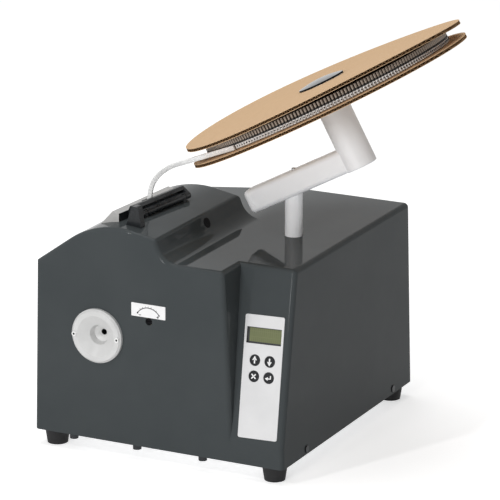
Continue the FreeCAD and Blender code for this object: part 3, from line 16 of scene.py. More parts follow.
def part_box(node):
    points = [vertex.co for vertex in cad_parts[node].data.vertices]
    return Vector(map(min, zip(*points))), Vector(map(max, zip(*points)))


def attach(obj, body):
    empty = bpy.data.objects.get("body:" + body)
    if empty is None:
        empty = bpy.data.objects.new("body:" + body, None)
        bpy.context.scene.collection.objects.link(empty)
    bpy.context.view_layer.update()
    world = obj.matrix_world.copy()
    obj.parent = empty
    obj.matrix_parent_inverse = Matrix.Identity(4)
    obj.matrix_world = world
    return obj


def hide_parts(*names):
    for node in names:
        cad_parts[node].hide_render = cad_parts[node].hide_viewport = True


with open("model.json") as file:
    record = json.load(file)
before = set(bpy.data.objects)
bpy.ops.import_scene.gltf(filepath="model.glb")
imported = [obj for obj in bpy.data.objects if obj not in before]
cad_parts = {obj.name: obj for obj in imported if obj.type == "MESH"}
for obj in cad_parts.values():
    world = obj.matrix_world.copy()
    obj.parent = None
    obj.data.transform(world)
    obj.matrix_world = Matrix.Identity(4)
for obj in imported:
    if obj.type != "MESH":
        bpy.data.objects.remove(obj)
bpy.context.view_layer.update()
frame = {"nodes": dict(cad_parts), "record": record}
record = frame["record"]
body_of_node = {}
for body, nodes in record["behaviour"]["bodies"].items():
    for node in nodes:
        body_of_node[node] = body
joints = {joint["name"]: joint for joint in record["behaviour"]["joints"]}
MM = 0.001
MM_PER_M = 1000.0
case_corner = Vector(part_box("casing")[0])


def spot(x, y, z):
    """A point given in millimetres from the casing's front left lower corner."""
    return case_corner + Vector((x, y, z)) * MM


# %% [markdown]
# ## The camera
#
# The photograph was taken from far away with a long lens, which keeps the casing's upright edges
# nearly parallel. A camera can be aimed by eye or solved from known edges. It was solved here, so its
# numbers are an angle round the object, an angle above the table, a distance and a small offset.

# %% Camera
AZIMUTH = math.radians(26.67)
ELEVATION = math.radians(16.85)
DISTANCE = 3787 * MM
FOCAL_PIXELS = 3700.0
IMAGE_PIXELS = 500.0
SENSOR_MM = 36.0
CLIP_END_M = 50.0
MIDDLE = spot(140, 150, 110)
AIM_RIGHT = 25.7 * MM
AIM_UP = 54.7 * MM

towards_camera = Vector((
    math.sin(AZIMUTH) * math.cos(ELEVATION),
    -math.cos(AZIMUTH) * math.cos(ELEVATION),
    math.sin(ELEVATION),
))
camera_right = Vector((math.cos(AZIMUTH), math.sin(AZIMUTH), 0.0))
camera_up = towards_camera.cross(camera_right)
bpy.ops.object.select_all(action="DESELECT")
bpy.ops.object.camera_add()
camera = bpy.context.object
camera.name = "photo_camera"
camera.data.sensor_width = SENSOR_MM
camera.data.lens = FOCAL_PIXELS / IMAGE_PIXELS * SENSOR_MM
camera.data.clip_end = CLIP_END_M
turn = Matrix((camera_right, camera_up, towards_camera)).transposed().to_4x4()
place = MIDDLE + towards_camera * DISTANCE + camera_right * AIM_RIGHT + camera_up * AIM_UP
camera.matrix_world = Matrix.Translation(place) @ turn
bpy.context.scene.camera = camera
print("camera at", [round(value, 3) for value in place], "lens", round(camera.data.lens, 1))

# %% [markdown]
# ## Frames that several pieces share
#
# The reel leans to one side on its arm, and the control foil leans back with its panel. A piece on either
# is easiest to model lying flat at the world's centre, so each gets a matrix that carries it to its place.

# %% Reel and panel frames
reel_joint = joints["reel_spin"]
reel_axis = Vector(reel_joint["axis"])
reel_across = Vector((reel_axis.y, -reel_axis.x, 0)).normalized()
reel_along = reel_across.cross(reel_axis)
REEL = Matrix((reel_along, reel_across, reel_axis)).transposed().to_4x4()
REEL.translation = Vector(reel_joint["pos_m"])

PANEL_FOOT_Z_MM = 20.3
PANEL_TOP_Z_MM = 194.6
PANEL_SET_BACK_MM = 39.2
PANEL_MID_X_MM = 249.0
PANEL_MID_V_MM = 69.1
PANEL_ROLL = math.radians(2.0)
panel_lean = math.atan2(PANEL_SET_BACK_MM, PANEL_TOP_Z_MM - PANEL_FOOT_Z_MM)
panel_up = Vector((0, math.sin(panel_lean), math.cos(panel_lean)))
panel_out = Vector((0, -math.cos(panel_lean), math.sin(panel_lean)))
PANEL = Matrix(((1, 0, 0), panel_up, panel_out)).transposed().to_4x4()
PANEL.translation = spot(PANEL_MID_X_MM, 0, PANEL_FOOT_Z_MM) + panel_up * PANEL_MID_V_MM * MM
PANEL = PANEL @ Matrix.Rotation(PANEL_ROLL, 4, "Z")

FRONT = Matrix(((1, 0, 0), (0, 0, 1), (0, -1, 0))).transposed().to_4x4()
print("reel middle", REEL.translation, "panel lean", round(math.degrees(panel_lean), 2))

# %% [markdown]
# ## Shared surface effects
#
# Real plastic, paint and metal are never one flat colour. Handling leaves faint patches, and moulding or
# casting leaves a fine grain. Each effect is a node group, built once and placed in many materials with
# its own sizes. A group gives out only colours, masks and heights, so the shader itself stays in the
# material, where its constants can be read.

# %% Node group helpers
def add_sockets(group, inputs, outputs):
    for name, kind in inputs:
        group.interface.new_socket(name, in_out="INPUT", socket_type=kind)
    for name, kind in outputs:
        group.interface.new_socket(name, in_out="OUTPUT", socket_type=kind)
    entry = group.nodes.new("NodeGroupInput")
    leave = group.nodes.new("NodeGroupOutput")
    return entry, leave


def noise_node(tree, detail, roughness=0.55):
    node = tree.nodes.new("ShaderNodeTexNoise")
    node.inputs["Detail"].default_value = detail
    node.inputs["Roughness"].default_value = roughness
    return node


VECTOR = "NodeSocketVector"
NUMBER = "NodeSocketFloat"
COLOUR = "NodeSocketColor"

# %% Patches and grain
patch_group = bpy.data.node_groups.new("patches_and_grain", "ShaderNodeTree")
entry, leave = add_sockets(
    patch_group,
    [("Place", VECTOR), ("Base", COLOUR), ("Tint", COLOUR),
     ("Patch scale", NUMBER), ("Grain scale", NUMBER)],
    [("Color", COLOUR), ("Mask", NUMBER), ("Height", NUMBER)],
)
patches = noise_node(patch_group, detail=4.0)
grain = noise_node(patch_group, detail=2.0)
spread = patch_group.nodes.new("ShaderNodeMapRange")
spread.inputs["From Min"].default_value = 0.35
spread.inputs["From Max"].default_value = 0.65
blend = patch_group.nodes.new("ShaderNodeMix")
blend.data_type = "RGBA"
link = patch_group.links.new
link(entry.outputs["Place"], patches.inputs["Vector"])
link(entry.outputs["Place"], grain.inputs["Vector"])
link(entry.outputs["Patch scale"], patches.inputs["Scale"])
link(entry.outputs["Grain scale"], grain.inputs["Scale"])
link(patches.outputs["Fac"], spread.inputs["Value"])
link(spread.outputs["Result"], blend.inputs["Factor"])
link(entry.outputs["Base"], blend.inputs["A"])
link(entry.outputs["Tint"], blend.inputs["B"])
link(blend.outputs["Result"], leave.inputs["Color"])
link(spread.outputs["Result"], leave.inputs["Mask"])
link(grain.outputs["Fac"], leave.inputs["Height"])
print("group", patch_group.name, "nodes", len(patch_group.nodes))

# %% Drawn lines, for brushed and turned metal and for the fibres of board
line_group = bpy.data.node_groups.new("drawn_lines", "ShaderNodeTree")
entry, leave = add_sockets(
    line_group,
    [("Place", VECTOR), ("Stretch", VECTOR), ("Base", COLOUR), ("Tint", COLOUR)],
    [("Color", COLOUR), ("Mask", NUMBER)],
)
mapping = line_group.nodes.new("ShaderNodeMapping")
streaks = noise_node(line_group, detail=3.0, roughness=0.6)
streaks.inputs["Scale"].default_value = 1.0
blend = line_group.nodes.new("ShaderNodeMix")
blend.data_type = "RGBA"
link = line_group.links.new
link(entry.outputs["Place"], mapping.inputs["Vector"])
link(entry.outputs["Stretch"], mapping.inputs["Scale"])
link(mapping.outputs["Vector"], streaks.inputs["Vector"])
link(streaks.outputs["Fac"], blend.inputs["Factor"])
link(entry.outputs["Base"], blend.inputs["A"])
link(entry.outputs["Tint"], blend.inputs["B"])
link(blend.outputs["Result"], leave.inputs["Color"])
link(streaks.outputs["Fac"], leave.inputs["Mask"])
print("group", line_group.name, "nodes", len(line_group.nodes))

# %% [markdown]
# ## Finishes
#
# Most finishes differ only in their numbers: two close colours, how large the patches are, how fine the
# grain is, and how rough the surface is where it is clean or handled. One function wires those up. The
# finishes with more to show, such as the board and the drawn metal, add nodes of their own.

# %% Finish builder
def grey(value):
    return (value, value, value, 1.0)


def tone(red, green, blue):
    return (red, green, blue, 1.0)


def bare_material(name):
    material = bpy.data.materials.new(name)
    material.use_nodes = True
    shader = material.node_tree.nodes["Principled BSDF"]
    coords = material.node_tree.nodes.new("ShaderNodeTexCoord")
    return material, material.node_tree, shader, coords.outputs["Object"]


def add_bump(tree, shader, height, distance):
    bump = tree.nodes.new("ShaderNodeBump")
    bump.inputs["Distance"].default_value = distance
    bump.inputs["Strength"].default_value = 1.0
    tree.links.new(height, bump.inputs["Height"])
    tree.links.new(bump.outputs["Normal"], shader.inputs["Normal"])


def add_roughness(tree, shader, mask, low, high):
    span = tree.nodes.new("ShaderNodeMapRange")
    span.inputs["To Min"].default_value = low
    span.inputs["To Max"].default_value = high
    tree.links.new(mask, span.inputs["Value"])
    tree.links.new(span.outputs["Result"], shader.inputs["Roughness"])


def finish(name, base, tint, patch_mm, grain_mm, rough, bump_mm, specular=0.5):
    material, tree, shader, place = bare_material(name)
    group = tree.nodes.new("ShaderNodeGroup")
    group.node_tree = patch_group
    group.inputs["Base"].default_value = base
    group.inputs["Tint"].default_value = tint
    group.inputs["Patch scale"].default_value = MM_PER_M / patch_mm
    group.inputs["Grain scale"].default_value = MM_PER_M / grain_mm
    tree.links.new(place, group.inputs["Place"])
    tree.links.new(group.outputs["Color"], shader.inputs["Base Color"])
    add_roughness(tree, shader, group.outputs["Mask"], *rough)
    add_bump(tree, shader, group.outputs["Height"], bump_mm * MM)
    shader.inputs["Specular IOR Level"].default_value = specular
    return material


DRAWN_DEPTH_MM = 0.02


def drawn_metal(name, base, tint, stretch, rough):
    material, tree, shader, place = bare_material(name)
    group = tree.nodes.new("ShaderNodeGroup")
    group.node_tree = line_group
    group.inputs["Stretch"].default_value = stretch
    group.inputs["Base"].default_value = base
    group.inputs["Tint"].default_value = tint
    tree.links.new(place, group.inputs["Place"])
    tree.links.new(group.outputs["Color"], shader.inputs["Base Color"])
    add_roughness(tree, shader, group.outputs["Mask"], *rough)
    add_bump(tree, shader, group.outputs["Mask"], DRAWN_DEPTH_MM * MM)
    shader.inputs["Metallic"].default_value = 1.0
    return material


# %% [markdown]
# The casing is thick moulded plastic, smooth and dark grey with a little green. The room here is white all
# round, and a full gloss would mirror it and turn the roof pale, so the reflection is kept weak. The
# roughness varies a little with handling, and a very shallow orange peel breaks the reflections.

# %% Plastic, paint and rubber finishes
casing_gloss = finish(
    "casing_gloss", tone(0.056, 0.064, 0.067), tone(0.062, 0.070, 0.073),
    patch_mm=70, grain_mm=2.2, rough=(0.03, 0.06), bump_mm=0.003, specular=0.05)
black_moulding_and_shade = finish(
    "black_moulding_and_shade", tone(0.014, 0.016, 0.018), tone(0.021, 0.023, 0.025),
    patch_mm=22, grain_mm=0.8, rough=(0.20, 0.32), bump_mm=0.012, specular=0.25)
funnel_grey = finish(
    "funnel_grey", tone(0.61, 0.61, 0.605), tone(0.66, 0.66, 0.655),
    patch_mm=18, grain_mm=0.5, rough=(0.34, 0.46), bump_mm=0.012)
cover_plastic = finish(
    "cover_plastic", tone(0.42, 0.415, 0.405), tone(0.48, 0.475, 0.465),
    patch_mm=25, grain_mm=0.6, rough=(0.34, 0.46), bump_mm=0.010)
silver_paint = finish(
    "silver_paint", tone(0.86, 0.87, 0.89), tone(0.90, 0.91, 0.93),
    patch_mm=40, grain_mm=0.7, rough=(0.30, 0.40), bump_mm=0.010, specular=0.45)
foot_rubber = finish(
    "foot_rubber", tone(0.012, 0.012, 0.013), tone(0.022, 0.022, 0.023),
    patch_mm=9, grain_mm=0.6, rough=(0.62, 0.80), bump_mm=0.05, specular=0.3)
foil_print = finish(
    "foil_print", tone(0.69, 0.69, 0.695), tone(0.73, 0.73, 0.735),
    patch_mm=30, grain_mm=0.6, rough=(0.36, 0.46), bump_mm=0.006)
label_film = finish(
    "label_film", tone(0.86, 0.86, 0.865), tone(0.90, 0.90, 0.90),
    patch_mm=12, grain_mm=0.5, rough=(0.40, 0.50), bump_mm=0.004)
frame_ink_and_shadow = finish(
    "frame_ink_and_shadow", tone(0.010, 0.011, 0.012), tone(0.018, 0.019, 0.020),
    patch_mm=3, grain_mm=0.3, rough=(0.45, 0.60), bump_mm=0.004)
scale_ink = finish(
    "scale_ink", tone(0.018, 0.019, 0.020), tone(0.030, 0.031, 0.032),
    patch_mm=3, grain_mm=0.3, rough=(0.45, 0.60), bump_mm=0.004)
symbol_white = finish(
    "symbol_white", tone(0.84, 0.84, 0.84), tone(0.90, 0.90, 0.90),
    patch_mm=3, grain_mm=0.3, rough=(0.42, 0.55), bump_mm=0.004)
key_plastic = finish(
    "key_plastic", tone(0.008, 0.009, 0.011), tone(0.013, 0.014, 0.016),
    patch_mm=5, grain_mm=0.4, rough=(0.34, 0.46), bump_mm=0.010, specular=0.2)
plug_black_and_shade = finish(
    "plug_black_and_shade", tone(0.006, 0.006, 0.007), tone(0.010, 0.010, 0.011),
    patch_mm=5, grain_mm=0.5, rough=(0.50, 0.65), bump_mm=0.010, specular=0.04)
circuit_lacquer = finish(
    "circuit_lacquer", tone(0.020, 0.150, 0.070), tone(0.030, 0.190, 0.090),
    patch_mm=9, grain_mm=1.2, rough=(0.28, 0.42), bump_mm=0.03)
motor_paint = finish(
    "motor_paint", tone(0.060, 0.060, 0.066), tone(0.085, 0.085, 0.090),
    patch_mm=14, grain_mm=0.7, rough=(0.40, 0.55), bump_mm=0.02)
collar_plastic = finish(
    "collar_plastic", tone(0.80, 0.80, 0.80), tone(0.88, 0.88, 0.87),
    patch_mm=6, grain_mm=0.5, rough=(0.38, 0.52), bump_mm=0.01)
carrier_shade = finish(
    "carrier_shade", tone(0.16, 0.14, 0.12), tone(0.22, 0.195, 0.165),
    patch_mm=6, grain_mm=0.5, rough=(0.45, 0.60), bump_mm=0.01)
mouth_shadow = finish(
    "mouth_shadow", tone(0.010, 0.010, 0.010), tone(0.025, 0.022, 0.020),
    patch_mm=2, grain_mm=0.3, rough=(0.60, 0.75), bump_mm=0.01)

# %% Metal finishes
zinc_steel = drawn_metal(
    "zinc_steel", tone(0.56, 0.57, 0.58), tone(0.68, 0.68, 0.69),
    stretch=(60, 700, 700), rough=(0.26, 0.42))
black_steel = drawn_metal(
    "black_steel", tone(0.030, 0.032, 0.034), tone(0.050, 0.052, 0.055),
    stretch=(60, 700, 700), rough=(0.30, 0.44))
tool_steel = drawn_metal(
    "tool_steel", tone(0.38, 0.39, 0.41), tone(0.50, 0.51, 0.53),
    stretch=(700, 80, 700), rough=(0.22, 0.36))
bare_aluminium = drawn_metal(
    "bare_aluminium", tone(0.66, 0.66, 0.67), tone(0.78, 0.78, 0.79),
    stretch=(90, 600, 600), rough=(0.24, 0.40))
turned_brass = drawn_metal(
    "turned_brass", tone(0.66, 0.48, 0.20), tone(0.78, 0.60, 0.28),
    stretch=(500, 500, 900), rough=(0.20, 0.34))
ferrule_metal = drawn_metal(
    "ferrule_metal", tone(0.17, 0.140, 0.115), tone(0.26, 0.220, 0.185),
    stretch=(900, 900, 300), rough=(0.36, 0.55))
polished_steel = drawn_metal(
    "polished_steel", tone(0.09, 0.092, 0.095), tone(0.24, 0.242, 0.245),
    stretch=(120, 120, 120), rough=(0.12, 0.22))
metals = (zinc_steel, black_steel, tool_steel, bare_aluminium, turned_brass, ferrule_metal, polished_steel)
print("metals", [metal.name for metal in metals])

# %% [markdown]
# ## Finishes with a pattern of their own
#
# The display is a sheet of glass over rows of character cells, and the board of the reel shows fibres and
# a faint washboard where the flutes push through its paper. Both patterns follow the piece they are on, so
# the coordinates are turned into that piece's own axes first.

# %% Display and board finishes
def local_place(tree, place, matrix):
    """Object coordinates turned into the axes of a frame."""
    mapping = tree.nodes.new("ShaderNodeMapping")
    mapping.vector_type = "TEXTURE"
    mapping.inputs["Location"].default_value = matrix.translation
    mapping.inputs["Rotation"].default_value = matrix.to_euler()
    tree.links.new(place, mapping.inputs["Vector"])
    return mapping.outputs["Vector"]


CELL_WIDE_MM = 2.2
CELL_HIGH_MM = 5.6
CELL_GAP_MM = 0.3
display_glass, tree, shader, place = bare_material("display_glass")
cells = tree.nodes.new("ShaderNodeTexBrick")
cells.offset = 0.0
cells.inputs["Color1"].default_value = tone(0.150, 0.168, 0.075)
cells.inputs["Color2"].default_value = tone(0.156, 0.174, 0.078)
cells.inputs["Mortar"].default_value = tone(0.172, 0.192, 0.088)
cells.inputs["Scale"].default_value = 1.0
cells.inputs["Mortar Size"].default_value = CELL_GAP_MM * MM
cells.inputs["Brick Width"].default_value = CELL_WIDE_MM * MM
cells.inputs["Row Height"].default_value = CELL_HIGH_MM * MM
tree.links.new(local_place(tree, place, PANEL), cells.inputs["Vector"])
tree.links.new(cells.outputs["Color"], shader.inputs["Base Color"])
shader.inputs["Roughness"].default_value = 0.12
shader.inputs["Specular IOR Level"].default_value = 0.4

FLUTE_PITCH_MM = 5.0
FIBRE_STRETCH = (260, 60, 260)
WASHBOARD_MM = 0.02
WAVE_RADIANS_PER_UNIT = 20.0


def board_finish(name, base, tint, washboard_mm):
    """Brown paper: fibres along the flutes, and a washboard across them."""
    material, tree, shader, place = bare_material(name)
    own = local_place(tree, place, REEL)
    group = tree.nodes.new("ShaderNodeGroup")
    group.node_tree = line_group
    group.inputs["Stretch"].default_value = FIBRE_STRETCH
    group.inputs["Base"].default_value = base
    group.inputs["Tint"].default_value = tint
    wave = tree.nodes.new("ShaderNodeTexWave")
    wave.inputs["Scale"].default_value = 2 * math.pi / (WAVE_RADIANS_PER_UNIT * FLUTE_PITCH_MM * MM)
    tree.links.new(own, group.inputs["Place"])
    tree.links.new(own, wave.inputs["Vector"])
    tree.links.new(group.outputs["Color"], shader.inputs["Base Color"])
    add_bump(tree, shader, wave.outputs["Fac"], washboard_mm * MM)
    shader.inputs["Roughness"].default_value = 0.85
    shader.inputs["Specular IOR Level"].default_value = 0.1
    return material


board_paper = board_finish("board_paper", tone(0.66, 0.45, 0.27), tone(0.74, 0.51, 0.31), WASHBOARD_MM)
# The waved paper is much darker than the flat papers: on the cut edges of the flanges this dark brown is
# painted shade inside the flutes.
flute_paper_and_shade = board_finish("flute_paper_and_shade", tone(0.20, 0.115, 0.055), tone(0.27, 0.16, 0.08), 0.0)
print("patterned finishes", display_glass.name, board_paper.name, flute_paper_and_shade.name)

# %% [markdown]
# ## Small tools for modelling
#
# The same few moves come up for every piece: select one object, apply its modifiers, join copies into one
# mesh, and carry a mesh that was modelled at the centre to its place. Objects stay at the origin with no
# turn or scale, so a piece's place is always in its mesh.

# %% Modelling helpers
def only(piece):
    bpy.ops.object.select_all(action="DESELECT")
    piece.select_set(True)
    bpy.context.view_layer.objects.active = piece


def apply_all(piece):
    only(piece)
    for modifier in list(piece.modifiers):
        bpy.ops.object.modifier_apply(modifier=modifier.name)


def settle(piece, name):
    """Names a piece and puts its own turn, scale and place into its mesh."""
    only(piece)
    bpy.ops.object.transform_apply(location=True, rotation=True, scale=True)
    piece.name = name
    piece.data.name = name
    return piece


def carry(piece, matrix):
    piece.data.transform(matrix)
    piece.data.update()
    return piece


def twin(piece, matrix):
    """A copy with its own mesh, carried by a matrix."""
    copy = bpy.data.objects.new(piece.name, piece.data.copy())
    bpy.context.scene.collection.objects.link(copy)
    return carry(copy, matrix)


def join(pieces, name):
    bpy.ops.object.select_all(action="DESELECT")
    for piece in pieces:
        piece.select_set(True)
    bpy.context.view_layer.objects.active = pieces[0]
    if len(pieces) > 1:
        bpy.ops.object.join()
    return settle(bpy.context.object, name)


def soften(piece, degrees):
    only(piece)
    bpy.ops.object.shade_smooth_by_angle(angle=math.radians(degrees))
    return piece


def bevel(piece, width_mm, segments):
    modifier = piece.modifiers.new("round", "BEVEL")
    modifier.width = width_mm * MM
    modifier.segments = segments
    modifier.limit_method = "ANGLE"
    apply_all(piece)
    return piece


def block(width, depth, height, centre=(0, 0, 0)):
    """A box in millimetres about a centre."""
    bpy.ops.object.select_all(action="DESELECT")
    bpy.ops.mesh.primitive_cube_add(size=1)
    piece = bpy.context.object
    piece.scale = Vector((width, depth, height)) * MM
    piece.location = Vector(centre) * MM
    return settle(piece, "block")


def drum(radius, height, low, sides):
    """An upright cylinder in millimetres, standing on a level."""
    bpy.ops.object.select_all(action="DESELECT")
    bpy.ops.mesh.primitive_cylinder_add(vertices=sides, radius=radius * MM, depth=height * MM)
    piece = bpy.context.object
    piece.location = (0, 0, (low + height / 2) * MM)
    return settle(piece, "drum")


def ring(outer, inner, height, low=0.0, sides=180):
    """A flat ring in millimetres: two circles bridged and drawn up."""
    bpy.ops.object.select_all(action="DESELECT")
    bpy.ops.mesh.primitive_circle_add(vertices=sides, radius=outer * MM)
    piece = bpy.context.object
    bpy.ops.object.mode_set(mode="EDIT")
    bpy.ops.mesh.primitive_circle_add(vertices=sides, radius=inner * MM)
    bpy.ops.mesh.select_all(action="SELECT")
    bpy.ops.mesh.bridge_edge_loops()
    bpy.ops.mesh.extrude_region_move(TRANSFORM_OT_translate={"value": (0, 0, height * MM)})
    bpy.ops.mesh.select_all(action="SELECT")
    bpy.ops.mesh.normals_make_consistent(inside=False)
    bpy.ops.object.mode_set(mode="OBJECT")
    piece.location = (0, 0, low * MM)
    return settle(piece, "ring")


def paint(piece, *materials):
    piece.data.materials.clear()
    for material in materials:
        piece.data.materials.append(material)
    return piece


slot_of_node = {row["node"]: row["material_slot"] for row in record["subparts"]}

# %% [markdown]
# ## The free strip of ferrules
#
# The ferrules come on a strip like a chain of short white collars. It leaves the winding, sags a little
# and turns down into the notch of the pale cover on the dome. A strip this thin could be a plain tube. The
# links are modelled instead, because each one shows as a bead with a dark mouth on one side. A curve
# through the route gives the line, and the links follow it.

# %% Route of the strip
STRIP_LEAVE = math.radians(244.0)
STRIP_REACH_MM = 135.3
COLLAR_LEVEL_MM = 6.6
STRIP_CORNERS = ((150.0, 49.8, 287.0), (118.0, 66.0, 272.6), (96.0, 77.0, 253.0), (90.4, 79.7, 231.0))
STRIP_END_DROP_MM = 22.0
STRIP_LINE_STEPS = 24
leave_point = Vector((math.cos(STRIP_LEAVE), math.sin(STRIP_LEAVE), 0)) * STRIP_REACH_MM
leave_point = REEL @ ((leave_point + Vector((0, 0, COLLAR_LEVEL_MM))) * MM)
route = [leave_point] + [spot(*corner) for corner in STRIP_CORNERS]
route.append(route[-1] - Vector((0, 0, STRIP_END_DROP_MM * MM)))

line_data = bpy.data.curves.new("strip_line", "CURVE")
line_data.dimensions = "3D"
line_data.resolution_u = STRIP_LINE_STEPS
spline = line_data.splines.new("NURBS")
spline.points.add(len(route) - 1)
for control, corner in zip(spline.points, route):
    control.co = (*corner, 1.0)
spline.order_u = 3
spline.use_endpoint_u = True
strip_line = bpy.data.objects.new("strip_line", line_data)
bpy.context.scene.collection.objects.link(strip_line)
bpy.context.view_layer.update()
line_mesh = bpy.data.meshes.new_from_object(strip_line)
line_points = [vertex.co.copy() for vertex in line_mesh.vertices]
bpy.data.meshes.remove(line_mesh)
bpy.data.objects.remove(strip_line)
reached = [0.0]
for before, after in zip(line_points, line_points[1:]):
    reached.append(reached[-1] + (after - before).length)
strip_length = reached[-1]
print("strip points", len(line_points), "length", round(strip_length, 4))


def on_line(distance):
    """Point and direction at a distance along the strip."""
    for index in range(1, len(line_points)):
        if reached[index] >= distance or index == len(line_points) - 1:
            run = line_points[index] - line_points[index - 1]
            share = (distance - reached[index - 1]) / run.length
            return line_points[index - 1] + run * share, run.normalized()


# %% One link, then the chain
LINK_PITCH_MM = 3.6
LINK_LONG_MM = 3.66
LINK_WIDE_MM = 5.0
LINK_THICK_MM = 2.4
LINK_ROUND_MM = 0.55
LINK_MOUTH_MM = 0.75
MOUTH_PLUG_MM = 0.3
RIB_LONG_MM = 0.7
RIB_WIDE_MM = LINK_WIDE_MM * 0.8
RIB_THICK_MM = LINK_THICK_MM * 0.78
TWIST_SHARE = 0.75
link_body = bevel(block(LINK_LONG_MM, LINK_WIDE_MM, LINK_THICK_MM), LINK_ROUND_MM, segments=2)
paint(link_body, collar_plastic, mouth_shadow)
# Each link's dark mouth is a small disc of painted shade, standing for the shade inside its opening.
link_mouth = drum(LINK_MOUTH_MM, MOUTH_PLUG_MM, low=0.0, sides=10)
carry(link_mouth, Matrix.Rotation(math.pi / 2, 4, "X"))
carry(link_mouth, Matrix.Translation((0, (MOUTH_PLUG_MM / 2 - LINK_WIDE_MM / 2) * MM, 0)))
paint(link_mouth, mouth_shadow)
link_rib = block(RIB_LONG_MM, RIB_WIDE_MM, RIB_THICK_MM, (LINK_PITCH_MM / 2, 0, 0))
paint(link_rib, collar_plastic)
link_piece = soften(join([link_body, link_mouth, link_rib], "link"), degrees=40)

links = []
link_count = int(strip_length / (LINK_PITCH_MM * MM))
for number in range(link_count):
    distance = (number + 0.5) * LINK_PITCH_MM * MM
    middle, along = on_line(distance)
    share = min(1.0, distance / (strip_length * TWIST_SHARE))
    eased = share * share * (3 - 2 * share)
    across = reel_axis.lerp(Vector((-1, 0, 0)), eased)
    across = (across - along * across.dot(along)).normalized()
    pose = Matrix((along, across, along.cross(across))).transposed().to_4x4()
    pose.translation = middle
    links.append(twin(link_piece, pose))
bpy.data.objects.remove(link_piece)
strip = join(links, "ferrule_chain")
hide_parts("ferrule_strip")
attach(strip, "base")
print("links", link_count, "faces", len(strip.data.polygons))

# %% [markdown]
# ## The reel's flanges
#
# Each flange is a disc cut from corrugated board: two flat papers with a waved paper glued between them.
# A plain disc would show a flat brown edge. The cut edge here shows the waves, so one wave is modelled,
# repeated across the disc, given the paper's thickness, and trimmed to the circle and the hub's hole.

# %% Corrugated board
FLANGE_R_MM = 149.4
FLANGE_T_MM = 3.6
HUB_HOLE_MM = 23.1
PAPER_MM = 0.42
FLUTE_PAPER_MM = 0.32
WAVE_STEPS = 8
FLUTE_LONG_MM = 2.1 * FLANGE_R_MM
FLUTE_MERGE_MM = 0.01
EDGE_INSET_MM = 0.15
HOLE_INSET_MM = 0.2
CUTTER_LOW_MM = -2
CUTTER_HIGH_MM = 8
flute_count = math.ceil(2 * FLANGE_R_MM / FLUTE_PITCH_MM) + 1
flute_rise = (FLANGE_T_MM - 2 * PAPER_MM - FLUTE_PAPER_MM) / 2

bpy.ops.object.select_all(action="DESELECT")
bpy.ops.mesh.primitive_grid_add(x_subdivisions=WAVE_STEPS, y_subdivisions=1, size=1)
flutes = bpy.context.object
flutes.scale = (FLUTE_PITCH_MM * MM, FLUTE_LONG_MM * MM, 1)
settle(flutes, "flutes")
for vertex in flutes.data.vertices:
    turn_share = vertex.co.x / (FLUTE_PITCH_MM * MM)
    vertex.co.z = flute_rise * MM * math.sin(2 * math.pi * turn_share)
repeat = flutes.modifiers.new("repeat", "ARRAY")
repeat.count = flute_count
repeat.use_relative_offset = False
repeat.use_constant_offset = True
repeat.constant_offset_displace = (FLUTE_PITCH_MM * MM, 0, 0)
repeat.use_merge_vertices = True
repeat.merge_threshold = FLUTE_MERGE_MM * MM
paper = flutes.modifiers.new("paper", "SOLIDIFY")
paper.thickness = FLUTE_PAPER_MM * MM
paper.offset = 0
apply_all(flutes)
carry(flutes, Matrix.Translation((-(flute_count - 1) / 2 * FLUTE_PITCH_MM * MM, 0, FLANGE_T_MM / 2 * MM)))
for cutter, operation in (
    (drum(FLANGE_R_MM - EDGE_INSET_MM, CUTTER_HIGH_MM, CUTTER_LOW_MM, sides=180), "INTERSECT"),
    (drum(HUB_HOLE_MM + HOLE_INSET_MM, CUTTER_HIGH_MM, CUTTER_LOW_MM, sides=64), "DIFFERENCE"),
):
    trim = flutes.modifiers.new("trim", "BOOLEAN")
    trim.operation = operation
    trim.object = cutter
    trim.solver = "EXACT"
    apply_all(flutes)
    bpy.data.objects.remove(cutter)
paint(flutes, flute_paper_and_shade)
print("flutes", flute_count, "faces", len(flutes.data.polygons))

# %% Both flanges
lower_paper = paint(ring(FLANGE_R_MM, HUB_HOLE_MM, PAPER_MM), board_paper)
upper_paper = paint(ring(FLANGE_R_MM, HUB_HOLE_MM, PAPER_MM, FLANGE_T_MM - PAPER_MM), board_paper)
flange = soften(join([lower_paper, upper_paper, flutes], "lower_board"), degrees=30)
REEL_GAP_MM = 14.0
WARP_PER_M = 0.21
BOW_PER_M = 0.035
BOARD_LEAN = 0.0135
WARP_DROP_MM = 0.15
upper_board = twin(flange, Matrix.Translation((0, 0, (FLANGE_T_MM + REEL_GAP_MM) * MM)))
upper_board.name = "upper_board"
for vertex in upper_board.data.vertices:
    x, y = vertex.co.xy
    vertex.co.z += BOW_PER_M * x * x - WARP_PER_M * x * y - BOARD_LEAN * x - WARP_DROP_MM * MM
carry(upper_board, REEL)
lower_board = carry(flange, REEL)
for board, node in ((lower_board, "lower_flange"), (upper_board, "upper_flange")):
    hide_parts(node)
    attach(board, "reel")
print("boards", lower_board.name, upper_board.name, "faces", len(upper_board.data.polygons))

# %% [markdown]
# ## The winding
#
# Only the outermost turn shows between the flanges. Each ferrule stands on edge: a thin metal barrel on
# the upper side and a white collar with its mouth on the lower side. One ferrule is modelled and copied
# round the reel. Where the free strip leaves, the ferrules that show belong to the turn below it. Behind
# them a ribbed ring stands for the turns underneath.

